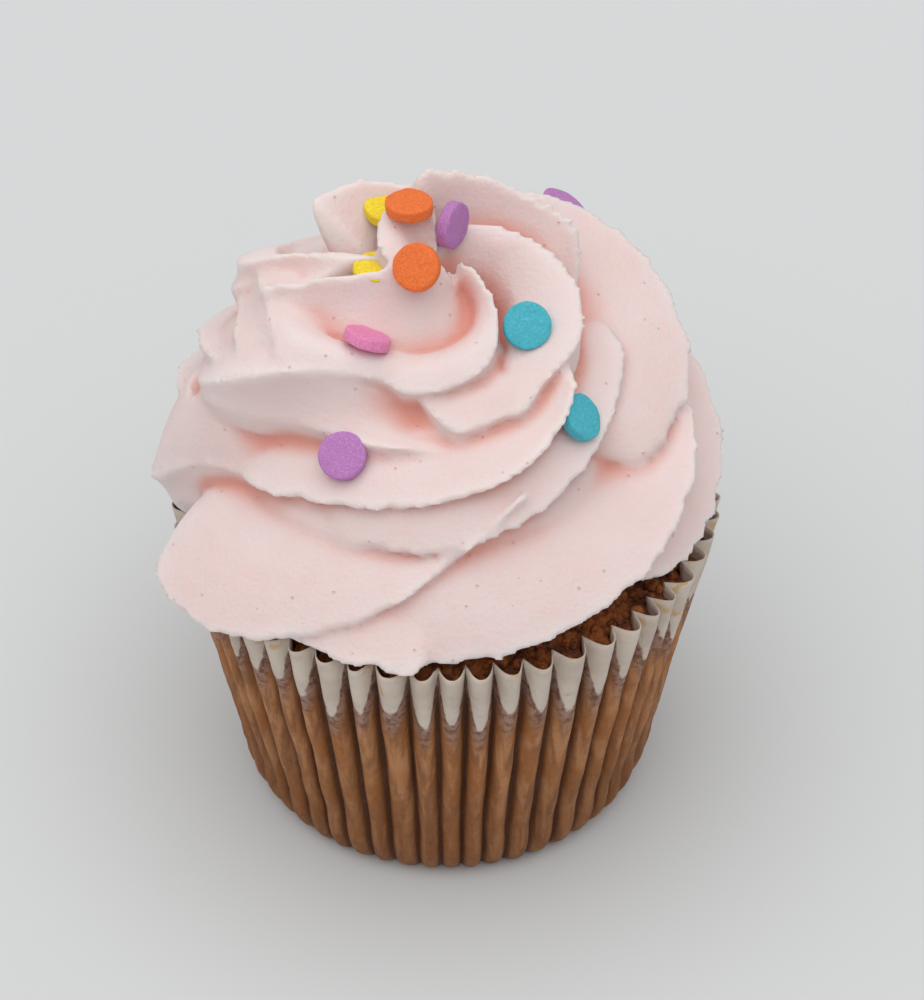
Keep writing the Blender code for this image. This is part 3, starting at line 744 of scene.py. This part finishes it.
# %% Ridges
RIDGES = {
    "back low": ((-270, -160), (34.5, 37.0, 35.0, 27.0), (46.5, 48.0, 55.0, 64.0), (1.2, 1.4)),
    "front skirt": ((-163, -58), (38.5, 37.0, 29.0, 25.0), (47.5, 45.0, 54.0, 65.0), (1.0, 1.0)),
    "front drip": ((-132, -90), (33.6, 34.6, 35.2, 35.6), (45.6, 45.4, 45.2, 45.0), (0.5, 1.0)),
    "right skirt": ((-136, 2), (34.6, 33.7, 34.8, 29.0), (45.2, 45.4, 52.0, 65.0), (1.0, 1.0)),
    "right edge": ((-46, 38), (32.0, 35.3, 34.0, 27.0), (46.3, 49.0, 57.0, 65.0), (1.0, 1.0)),
    "back right": ((-5, 100), (33.0, 34.8, 33.0, 26.0), (46.0, 48.3, 56.0, 65.0), (1.0, 1.0)),
    "back middle": ((42, 150), (33.5, 35.0, 33.0, 25.0), (46.0, 47.8, 55.0, 64.5), (1.1, 1.1)),
    "back left": ((92, 190), (33.5, 35.5, 34.0, 27.0), (46.0, 47.8, 54.0, 62.0), (1.3, 1.5)),
    "left shoulder": ((105, 215), (32.3, 33.2, 29.6, 22.0), (52.0, 57.5, 66.0, 73.5), (1.6, 1.8)),
    "front middle": ((199, 338), (30.5, 24.9, 23.7, 17.0), (55.5, 60.3, 64.8, 74.5), (1.0, 1.0)),
    "front under": ((210, 368), (21.0, 26.6, 24.6, 22.5), (56.5, 56.5, 62.0, 71.5), (1.0, 1.0)),
    "right outer": ((322, 430), (25.0, 30.8, 27.4, 17.5), (57.0, 64.0, 72.5, 79.0), (1.0, 1.2)),
    "back upper right": ((372, 485), (27.0, 29.5, 26.0, 17.0), (57.0, 61.5, 70.0, 77.5), (1.1, 1.3)),
    "back upper left": ((425, 535), (28.0, 30.5, 27.0, 18.0), (56.0, 60.5, 68.5, 77.0), (1.2, 1.4)),
    "peak back": ((372, 478), (21.0, 13.0, 9.5, 9.0), (77.0, 83.5, 86.0, 86.0), (1.0, 1.2)),
    "peak left": ((455, 526), (9.0, 11.5, 15.0, 16.5), (84.5, 84.0, 84.2, 83.0), (1.0, 1.5)),
}
RIDGE_STATIONS = 160
BLADE_SHARES = (0.0, 0.25, 0.5, 0.68, 0.82, 0.92, 0.98)   # of the way from the rope to the crest
CREST_HALF = 0.28              # mm: half the thickness of the very edge
FULL_ABOVE, FULL_BELOW = 3.6, 1.8
FULL_RUN = 7.0                 # mm back from the crest over which the blade fills out
END_SHARE, END_RUN = 0.5, 0.12
TORN_WAVES = ((1.6, 0.40), (2.7, 0.30), (0.9, 0.28))    # length and depth in mm
TORN_HOLD = 9                  # how closely the tearing keeps to the crest


def torn_edge(seed, count, length):
    """How far the crest is torn in or out at each station along it, in mm."""
    random = np.random.default_rng(seed)
    along = np.linspace(0.0, length, count)
    total = np.zeros(count)
    for wave, depth in TORN_WAVES:
        peaks = random.uniform(-1.0, 1.0, int(length / wave) + 2)
        total += depth * np.interp(along, np.linspace(0.0, length, len(peaks)), peaks)
    return total


def ridge(angles, radii, heights, fullness, seed):
    """A blade of buttercream from the rope's middle out to its torn crest."""
    length = math.radians(angles[1] - angles[0]) * float(np.mean(radii))
    tears = torn_edge(seed, RIDGE_STATIONS, length)
    sections = []
    for share, tear in zip(np.linspace(0.0, 1.0, RIDGE_STATIONS), tears):
        angle = angles[0] + share * (angles[1] - angles[0])
        middle, level, _ = rope_at(angle)
        out, up = through(radii, share) - middle, through(heights, share) - level
        grown = math.sin(0.5 * math.pi * min(1.0, min(share, 1.0 - share) / END_RUN))
        depth = math.hypot(out, up) * (END_SHARE + (1.0 - END_SHARE) * grown)
        lean = math.atan2(up, out)
        points = []
        for side, full in ((1, FULL_ABOVE * fullness[0]), (-1, FULL_BELOW * fullness[1])):
            for part in BLADE_SHARES if side > 0 else BLADE_SHARES[::-1]:
                reach = depth * part + tear * part ** TORN_HOLD
                half = CREST_HALF + full * (1.0 - math.exp((reach - depth) / FULL_RUN))
                points.append(turned(middle + reach * math.cos(lean) - side * half * math.sin(lean),
                                     level + reach * math.sin(lean) + side * half * math.cos(lean), angle))
            if side > 0:
                tip = depth + tear
                points.append(turned(middle + tip * math.cos(lean), level + tip * math.sin(lean), angle))
        sections.append(np.array(points))
    return tube(sections)


print(len(RIDGES), "ridges")

# %% [markdown]
# ## The frosting: the folds
#
# In front, on the left and round the small bowl at the peak the ridges are not thin blades
# but full, soft folds, pushed over one another as the nozzle comes round. Each fold is
# followed station by station: its angle, then distance and height of the crest, of the foot
# of its outer flank, and of the line where its top meets the next fold inwards.

# %% Folds
FOLDS = {
    "peak tail": (0.20, (
        (100, 4.0, 84.6, 4.5, 80.0, 1.5, 84.0), (115, 5.5, 85.0, 6.0, 80.0, 2.5, 84.2),
        (140, 7.0, 84.8, 7.3, 80.0, 3.4, 83.6), (165, 7.4, 84.0, 7.7, 79.5, 3.6, 83.0),
        (190, 7.2, 82.8, 7.5, 79.0, 3.2, 82.0), (212, 6.2, 81.3, 6.6, 79.0, 2.5, 81.0),
        (235, 4.5, 80.6, 5.0, 78.5, 1.5, 80.5))),
    "peak fold": (0.05, (
        (181, 21.0, 75.5, 21.5, 74.5, 17.0, 74.0), (187, 21.0, 77.6, 21.3, 76.6, 17.0, 76.5),
        (194, 14.8, 79.6, 18.3, 75.6, 11.0, 78.0), (206, 8.4, 80.7, 15.0, 74.6, 5.0, 79.0),
        (226, 4.6, 81.3, 11.8, 73.4, 2.5, 80.0), (252, 2.8, 81.4, 9.2, 72.6, 1.5, 80.3),
        (274, 2.3, 80.5, 7.6, 72.8, 0.8, 79.6), (295, 2.0, 79.3, 6.1, 73.3, 0.6, 78.4),
        (318, 2.0, 77.4, 4.9, 74.0, 0.6, 76.8), (345, 2.0, 76.2, 3.3, 75.3, 0.6, 76.0))),
    "bowl lip": (0.22, (
        (186, 20.6, 75.4, 20.0, 72.5, 18.5, 76.2), (200, 21.3, 74.4, 20.3, 71.5, 17.0, 75.4),
        (213, 21.0, 73.6, 19.5, 71.0, 15.2, 74.5), (240, 15.3, 72.1, 14.6, 69.5, 10.4, 73.0),
        (256, 15.1, 70.9, 14.0, 68.5, 9.0, 72.5), (279, 13.8, 71.5, 13.0, 69.0, 7.4, 72.7),
        (300, 12.4, 73.1, 12.0, 70.0, 6.1, 73.2), (316, 9.9, 75.6, 10.0, 71.5, 5.0, 73.9),
        (328, 7.4, 77.8, 8.3, 73.5, 3.9, 75.0), (338, 5.2, 79.0, 6.5, 76.0, 2.7, 76.6),
        (352, 3.6, 79.6, 4.6, 78.0, 1.2, 78.2))),
    "right lip": (0.10, (
        (286, 14.5, 67.5, 14.0, 66.0, 11.5, 69.0), (301, 18.3, 68.8, 17.6, 66.3, 12.8, 70.3),
        (317, 17.4, 71.0, 17.2, 67.5, 11.3, 71.6), (334, 18.3, 73.2, 18.0, 69.0, 10.0, 73.3),
        (344, 17.8, 74.9, 17.6, 70.5, 9.6, 74.0), (356, 16.6, 76.6, 16.8, 72.0, 9.0, 74.8),
        (375, 13.3, 79.0, 14.5, 75.0, 6.9, 76.0), (392, 9.7, 80.5, 12.0, 76.5, 5.0, 77.5),
        (419, 6.2, 81.2, 9.0, 77.5, 3.7, 79.0), (440, 4.5, 81.5, 7.0, 78.0, 2.5, 80.0))),
    "small ledge": (0.08, (
        (258, 13.5, 69.8, 13.5, 67.5, 9.0, 70.5), (264, 15.0, 69.3, 14.8, 66.5, 10.0, 70.5),
        (270, 16.5, 68.4, 16.2, 65.5, 11.0, 70.3), (277, 17.8, 67.6, 17.3, 64.5, 11.5, 70.2),
        (286, 17.8, 68.0, 17.3, 64.5, 12.0, 70.3), (294, 17.6, 68.5, 17.2, 65.0, 12.0, 70.5),
        (304, 18.0, 69.2, 17.6, 66.0, 12.0, 71.0))),
    "left fold": (0.05, (
        (160, 30.8, 57.6, 30.3, 55.6, 25.2, 67.6), (176, 29.9, 60.8, 29.5, 59.2, 24.6, 69.4),
        (187, 29.7, 64.4, 29.5, 61.6, 23.8, 70.6), (198, 29.2, 68.0, 29.0, 65.4, 24.2, 71.9),
        (207, 26.0, 71.0, 25.8, 65.3, 22.0, 73.2), (216, 22.0, 73.0, 22.5, 65.6, 18.0, 73.0),
        (228, 17.6, 73.0, 20.8, 66.0, 13.0, 71.2), (240, 15.0, 69.8, 20.2, 66.0, 11.0, 69.0),
        (262, 12.5, 67.5, 19.0, 66.0, 9.0, 68.0), (285, 10.0, 67.0, 17.5, 65.0, 6.0, 68.0))),
    "left low": (0.05, (
        (100, 28.0, 45.8, 27.5, 44.8, 24.0, 49.5), (125, 32.6, 46.0, 32.1, 44.8, 29.0, 54.5),
        (150, 34.5, 46.2, 34.0, 44.8, 31.0, 57.0), (168, 35.4, 46.4, 34.6, 44.8, 31.0, 59.3),
        (184, 36.5, 47.8, 34.9, 45.8, 30.8, 61.2), (192, 33.6, 52.6, 32.6, 47.4, 29.3, 63.0),
        (199, 30.3, 56.0, 29.6, 48.4, 27.0, 63.6), (212, 26.5, 57.3, 26.4, 49.4, 23.0, 61.0),
        (250, 22.0, 58.0, 23.5, 51.0, 19.0, 60.0))),
    "left upper": (0.05, (
        (125, 27.5, 64.0, 28.5, 61.0, 22.0, 70.0), (145, 27.2, 69.0, 28.2, 65.5, 22.0, 73.0),
        (161, 26.0, 73.8, 27.2, 69.5, 21.0, 76.5), (168, 24.8, 75.3, 26.2, 71.0, 19.5, 77.6),
        (171, 20.5, 77.5, 25.4, 72.5, 15.0, 79.0), (174, 15.0, 79.2, 22.0, 74.5, 10.0, 79.8),
        (184, 10.0, 80.2, 16.0, 77.5, 6.0, 80.2))),
    "left hollow": (0.05, (
        (168, 22.4, 74.5, 25.6, 71.0, 18.0, 76.0), (178, 21.6, 76.0, 24.6, 71.4, 17.0, 77.0),
        (190, 20.6, 76.0, 25.1, 71.8, 16.0, 76.5), (200, 20.8, 75.2, 25.0, 71.6, 15.0, 75.5),
        (209, 21.0, 74.0, 24.4, 71.3, 15.0, 74.5))),
}
FOLD_STATIONS = 90
TOP_PARTS = (0.0, 0.2, 0.4, 0.6, 0.8, 0.95)
FLANK_PARTS = (0.07, 0.25, 0.45, 0.65, 0.85, 1.0)
FLANK_HOLLOW = 0.09              # how far a flank is scooped, as a share of its length
FOLD_TEAR = 0.6                  # a fold tears less than a blade
CREST_LIFT = (0.25, 0.10)        # mm outwards and up, which keeps a crest crisp
UNDER_TOP = ((-5.0, -6.0), (-2.0, -3.0))      # the hidden underside, from the inner line, in mm
UNDER_FOOT = ((-1.0, -3.0), (-6.0, -7.0))     # and from the foot


def station_at(stations, share):
    """The smooth run of seven numbers through the stations, at a share of the way along."""
    last = len(stations) - 1
    place = min(share * last, last - 1e-9)
    index = int(place)
    part = place - index
    before, first, second, after = (np.array(stations[min(max(k, 0), last)], float)
                                    for k in range(index - 1, index + 3))
    return 0.5 * (2 * first + (second - before) * part
                  + (2 * before - 5 * first + 4 * second - after) * part ** 2
                  + (3 * first - before - 3 * second + after) * part ** 3)


def bowed(start, end, bow, parts):
    """Points on a line from start to end that bows to one side by a share of its length."""
    (r0, z0), (r1, z1) = start, end
    return [(r0 + (r1 - r0) * t + bow * math.sin(math.pi * t) * (z1 - z0),
             z0 + (z1 - z0) * t - bow * math.sin(math.pi * t) * (r1 - r0)) for t in parts]


def fold(bulge, stations, seed):
    """A full fold of buttercream: top, torn crest and scooped flank, closed underneath."""
    length = math.radians(stations[-1][0] - stations[0][0]) * np.mean([row[1] for row in stations])
    tears = FOLD_TEAR * torn_edge(seed, FOLD_STATIONS, max(float(length), 5.0))
    sections = []
    for share, tear in zip(np.linspace(0.0, 1.0, FOLD_STATIONS), tears):
        angle, crest_r, crest_z, foot_r, foot_z, inner_r, inner_z = station_at(stations, share)
        outline = [(max(inner_r + UNDER_TOP[0][0], 0.2), foot_z + UNDER_TOP[0][1]),
                   (max(inner_r + UNDER_TOP[1][0], 0.3), inner_z + UNDER_TOP[1][1])]
        outline += bowed((inner_r, inner_z), (crest_r, crest_z), -bulge, TOP_PARTS)
        outline.append((crest_r + CREST_LIFT[0] + 0.8 * tear, crest_z + CREST_LIFT[1] + 0.3 * tear))
        outline += bowed((crest_r, crest_z), (foot_r, foot_z), FLANK_HOLLOW, FLANK_PARTS)
        outline += [(max(foot_r + out, 0.2), foot_z + up) for out, up in UNDER_FOOT]
        sections.append(np.array([turned(out, up, angle) for out, up in outline]))
    return tube(sections)


print(len(FOLDS), "folds")

# %% [markdown]
# ## The frosting: the rope and the heap
#
# Under the ridges lies the rope itself, and under that the heap of buttercream that fills
# the middle, since a piped swirl is solid. Both are plain: the ridges cover them.

# %% Rope and heap
ROPE_STATIONS, ROPE_SIDES = 110, 12
HEAP = ((26.0, 50.0), (18.0, 55.0), (13.0, 60.0), (10.0, 65.0), (7.0, 69.5), (4.0, 72.5), (2.0, 73.5))
HEAP_SIDES = 60
SEAT = 0.3                      # mm between the cake and the frosting


def rope():
    """The round rope itself, along the whole spiral."""
    around = np.linspace(0, 2 * math.pi, ROPE_SIDES, endpoint=False)
    sections = []
    for angle in np.linspace(SPIRAL_START, ROPE_END, ROPE_STATIONS):
        out, level, size = rope_at(angle)
        sections.append(turned(out + size * np.cos(around), level + size * np.sin(around), angle))
    return tube(sections)


def heap():
    """The solid middle, which rests on the dome of the cake."""
    around = np.linspace(0, 360, HEAP_SIDES, endpoint=False)
    under = [(r, float(dome_height(r)) + SEAT) for r in np.linspace(2.0, 26.0, 9)]
    return tube([turned(r + 0 * around, h, around) for r, h in under + list(HEAP)])


# %% [markdown]
# ## The frosting: one skin
#
# The blades, the rope and the heap overlap. A voxel remesh melts them into one skin, fine
# enough to keep the torn edges, and rounds the creases as soft butter does. Whatever would
# reach into the paper or the cake is lifted clear of them.

# %% Melt the swirl into one skin
VOXEL = 0.52 * MM
RIM_BAND = 31.5                 # mm: outside this the frosting hangs over the paper
RIM_CLEARANCE = 0.3


def add_shape(build, shape):
    rows, faces = shape
    corners = [build.verts.new(tuple(row)) for row in rows]
    for face in faces:
        build.faces.new([corners[i] for i in face])


build = bmesh.new()
for number, (angles, radii, levels, fullness) in enumerate(RIDGES.values()):
    add_shape(build, ridge(angles, radii, levels, fullness, number))
for number, (bulge, stations) in enumerate(FOLDS.values()):
    add_shape(build, fold(bulge, stations, len(RIDGES) + number))
add_shape(build, rope())
add_shape(build, heap())
bmesh.ops.recalc_face_normals(build, faces=build.faces)
swirl = bpy.data.objects.new("buttercream_swirl", bpy.data.meshes.new("buttercream_swirl"))
bpy.context.scene.collection.objects.link(swirl)
build.to_mesh(swirl.data)
build.free()
skin = swirl.modifiers.new("one skin", "REMESH")
skin.mode = "VOXEL"
skin.voxel_size = VOXEL
settle(swirl)


def points_of(item):
    rows = np.empty(len(item.data.vertices) * 3, np.float64)
    item.data.vertices.foreach_get("co", rows)
    return rows.reshape(-1, 3)


def lift_clear(item):
    """Raise whatever reaches into the cake or the rim of the case."""
    rows = points_of(item)
    out = np.hypot(rows[:, 0], rows[:, 1]) / MM
    rim = CASE_HEIGHT + RIM_CLEARANCE * MM
    lowest = np.where(out > RIM_BAND, rim, np.maximum(rim, (dome_height(out) + SEAT) * MM))
    rows[:, 2] = np.maximum(rows[:, 2], lowest)
    item.data.vertices.foreach_set("co", rows.astype(np.float32).ravel())
    item.data.update()


lift_clear(swirl)
swirl.data.shade_smooth()
print("swirl:", triangles_of(swirl), "triangles")

# %% [markdown]
# ## How hollow the frosting is
#
# Light that has bounced about in a crease comes out a deeper salmon. To paint that, every
# point gets a measure of how hollow it lies: the surface is smoothed again and again, and
# where the smoothed surface ends up above the real one, the point is in a hollow.

# %% Measure the hollows
HOLLOW_PASSES = 60              # for the small creases
BROAD_PASSES = 300              # for the broad hollows between one fold and the next


def hollowness(item, passes):
    """Height in mm of the smoothed surface above each point, along its normal."""
    rows = points_of(item)
    edges = np.empty(len(item.data.edges) * 2, np.int64)
    item.data.edges.foreach_get("vertices", edges)
    first, second = edges[0::2], edges[1::2]
    ends, others = np.concatenate([first, second]), np.concatenate([second, first])
    count = np.bincount(ends, minlength=len(rows))
    soft = rows.copy()
    for _ in range(passes):
        sums = [np.bincount(ends, soft[others, axis], len(rows)) for axis in range(3)]
        soft = np.stack(sums, axis=1) / count[:, None]
    normals = np.empty(len(rows) * 3, np.float64)
    item.data.vertices.foreach_get("normal", normals)
    return ((soft - rows) * normals.reshape(-1, 3)).sum(axis=1) / MM


hollows, broad = hollowness(swirl, HOLLOW_PASSES), hollowness(swirl, BROAD_PASSES)
store(swirl, "hollow", hollows)
store(swirl, "broad_hollow", broad)
print("hollow from", round(float(hollows.min()), 2), "to", round(float(hollows.max()), 2), "mm")

# %% [markdown]
# ## The finish of the buttercream
#
# Butter, sugar and a drop of pink: pale, matt and slightly see-through, so light spreads
# under its surface. Crests get a painted highlight of near white, and creases a painted
# salmon shade. Sugar leaves a very fine grain, and small air bubbles leave pits, which get
# a little painted shade.

# %% Buttercream material
def buttercream_material():
    material, tree, shader = new_material("pink_buttercream")
    where = object_place(tree)
    hollow = measure_of(tree, "hollow")
    cloud = speckle(tree, where, 9.0 * MM, 2.0)
    broad = measure_of(tree, "broad_hollow")
    pink = blend_colours(tree, ease(tree, cloud, 0.35, 0.65), paint(234, 214, 211), paint(233, 210, 206))
    # Painted shade: the broad hollows between the folds, then the small creases, turn a deeper salmon.
    pink = blend_colours(tree, ease(tree, broad, 0.0, 1.8, 0.0, 0.85), pink, paint(232, 174, 162))
    pink = blend_colours(tree, ease(tree, hollow, 0.05, 1.0, 0.0, 0.8), pink, paint(226, 152, 136))
    # Painted highlight: where the surface bulges out, on the crests, it turns almost white.
    pink = blend_colours(tree, ease(tree, hollow, -0.15, -0.9, 0.0, 0.7), pink, paint(238, 226, 223))

    bubble = add_node(tree, "ShaderNodeTexVoronoi", Vector=where, Scale=1.0 / (2.6 * MM), Randomness=1.0)
    pit = ease(tree, bubble.outputs["Distance"], 0.085, 0.045)
    # Painted shade: the bubble pits are coloured a little darker.
    feed(tree, shader.inputs["Base Color"], blend_colours(
        tree, times(tree, pit, 0.35), pink, paint(214, 160, 150)))
    feed(tree, shader.inputs["Roughness"], ease(tree, speckle(tree, where, 0.8 * MM), 0.3, 0.7, 0.50, 0.66))
    shader.inputs["Specular IOR Level"].default_value = 0.35
    shader.inputs["Subsurface Weight"].default_value = 0.5
    shader.inputs["Subsurface Radius"].default_value = (1.0, 0.40, 0.30)
    shader.inputs["Subsurface Scale"].default_value = 1.6 * MM

    grain = speckle(tree, where, 0.55 * MM, 3.0, 0.6)
    waves = speckle(tree, where, 2.2 * MM, 2.0, 0.5)
    normal = bump(tree, waves, 0.12 * MM)
    normal = bump(tree, grain, 0.10 * MM, normal)
    normal = bump(tree, minus(tree, 1.0, pit), 0.12 * MM, normal)
    tree.links.new(normal, shader.inputs["Normal"])
    return material


swirl.data.materials.append(buttercream_material())
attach(swirl, "root")
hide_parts("frosting")
print("buttercream ready")

# %% [markdown]
# ## Sugar discs
#
# The discs are stamped from coloured sugar paste, under six millimetres across and under two
# thick, with soft edges. A tree makes one disc as a rounded, flattened ball and copies it to
# every place where a disc was dropped, tilted as it fell.

# %% Tree of the discs
def disc_tree(material):
    tree, source, sink = new_tree("sugar discs", {"Diameter": 0.006, "Thickness": 0.0017,
                                                  "Squareness": 0.3, "Unevenness": 0.0002, "Seed": 1})
    ball = add_node(tree, "GeometryNodeMeshUVSphere", Segments=56, Rings=36, Radius=1.0).outputs[0]
    x, y, z = add_node(tree, "ShaderNodeSeparateXYZ", Vector=own_place(tree)).outputs
    flat = calc(tree, "SQRT", plus(tree, times(tree, x, x), times(tree, y, y)))
    flat = calc(tree, "MAXIMUM", flat, 1e-6)
    wide = calc(tree, "DIVIDE", calc(tree, "POWER", flat, source["Squareness"]), flat)
    wide = times(tree, wide, source["Diameter"], 0.5)
    tall = calc(tree, "POWER", calc(tree, "ABSOLUTE", z), source["Squareness"])
    tall = times(tree, tall, calc(tree, "SIGN", z), source["Thickness"], 0.5)
    shape = point(tree, times(tree, x, wide), times(tree, y, wide), tall)
    disc = add_node(tree, "GeometryNodeSetPosition", Geometry=ball, Position=shape).outputs[0]
    facing = add_node(tree, "GeometryNodeInputNamedAttribute", {"data_type": "FLOAT_VECTOR"}, Name="facing")
    tilt = add_node(tree, "FunctionNodeAlignRotationToVector", {"axis": "Z"}, Vector=facing.outputs[0])
    placed = add_node(tree, "GeometryNodeInstanceOnPoints", Points=source["Geometry"], Instance=disc,
                      Rotation=tilt.outputs[0]).outputs[0]
    real = add_node(tree, "GeometryNodeRealizeInstances", Geometry=placed).outputs[0]
    shifted = add_node(tree, "ShaderNodeVectorMath", {"operation": "ADD"}, Vector=own_place(tree))
    tree.links.new(source["Seed"], shifted.inputs[1])
    finish_tree(tree, roughened(tree, real, shifted.outputs[0], 420.0, source["Unevenness"]), material, sink)
    return tree


# %% [markdown]
# ## The finish of the discs
#
# Sugar paste is matt and evenly coloured through, with a sandy grain. A little light passes
# under the surface, which keeps the colours bright at the edges.

# %% Sugar material
def sugar_material(name, colour):
    material, tree, shader = new_material(name)
    where = object_place(tree)
    sand = speckle(tree, where, 0.30 * MM, 3.0, 0.65)
    pale = tuple(min(1.0, c * 1.28 + 0.015) for c in colour[:3]) + (1.0,)
    deep = tuple(c * 0.86 for c in colour[:3]) + (1.0,)
    tone = blend_colours(tree, ease(tree, sand, 0.36, 0.5), deep, colour)
    tone = blend_colours(tree, ease(tree, sand, 0.54, 0.70), tone, pale)
    feed(tree, shader.inputs["Base Color"], tone)
    feed(tree, shader.inputs["Roughness"], ease(tree, sand, 0.3, 0.7, 0.55, 0.75))
    shader.inputs["Specular IOR Level"].default_value = 0.3
    shader.inputs["Subsurface Weight"].default_value = 0.15
    shader.inputs["Subsurface Radius"].default_value = (1.0, 0.8, 0.8)
    shader.inputs["Subsurface Scale"].default_value = 0.4 * MM
    tree.links.new(bump(tree, sand, 0.16 * MM), shader.inputs["Normal"])
    return material


# %% [markdown]
# ## Dropping the discs
#
# Ten discs in five colours lie scattered over the peak and the front. Each has its own line:
# where its middle is, in millimetres across, back and up, and the way its flat face
# looks. Some lie on a slope, some stand on edge or are half sunk in the soft frosting, and
# three are half hidden behind a crest.

# %% Place the discs
DISC_ACROSS, DISC_THICK = 5.7 * MM, 1.7 * MM
DISC_SEED = 3
DISCS = {
    "orange": (paint(246, 122, 58), (((-4.1, 2.7, 85.7), (0.0, 0.05, 1.0)),
                                     ((-3.2, -4.2, 81.8), (-0.30, -0.70, 0.65)))),
    "purple": (paint(192, 130, 192), (((1.0, 3.1, 82.7), (0.87, -0.49, 0.05)),
                                      ((14.7, 19.7, 73.9), (0.47, 0.10, 0.88)),
                                      ((-11.9, -17.9, 64.5), (-0.10, -0.68, 0.72)))),
    "teal": (paint(80, 186, 202), (((9.8, -6.0, 74.6), (0.05, -0.74, 0.67)),
                                   ((16.1, -13.0, 66.4), (0.70, -0.33, 0.64)))),
    "pink": (paint(240, 142, 188), (((-9.0, -9.0, 75.0), (0.30, 0.38, 0.87)),)),
    "yellow": (paint(248, 216, 52), (((-6.8, 8.0, 81.6), (0.0, -0.10, 0.99)),
                                     ((-8.0, -0.9, 79.0), (0.0, -0.05, 1.0)))),
}
for number, (name, (colour, places)) in enumerate(DISCS.items()):
    discs = new_object(name + "_discs", [Vector(place) * MM for place, _ in places], [])
    facings = discs.data.attributes.new("facing", "FLOAT_VECTOR", "POINT")
    facings.data.foreach_set("vector", np.array([face for _, face in places], np.float32).ravel())
    grow(discs, disc_tree(sugar_material(name + "_sugar", colour)), {
        "Diameter": DISC_ACROSS, "Thickness": DISC_THICK, "Squareness": 0.30, "Unevenness": 0.45 * MM,
        "Seed": DISC_SEED + number})
    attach(discs, "root")
    print(name, "discs:", len(places), "with", triangles_of(discs), "triangles")

# %% [markdown]
# ## Closing
#
# At the end the scene is brought up to date once more.

# %% Finish
bpy.context.view_layer.update()
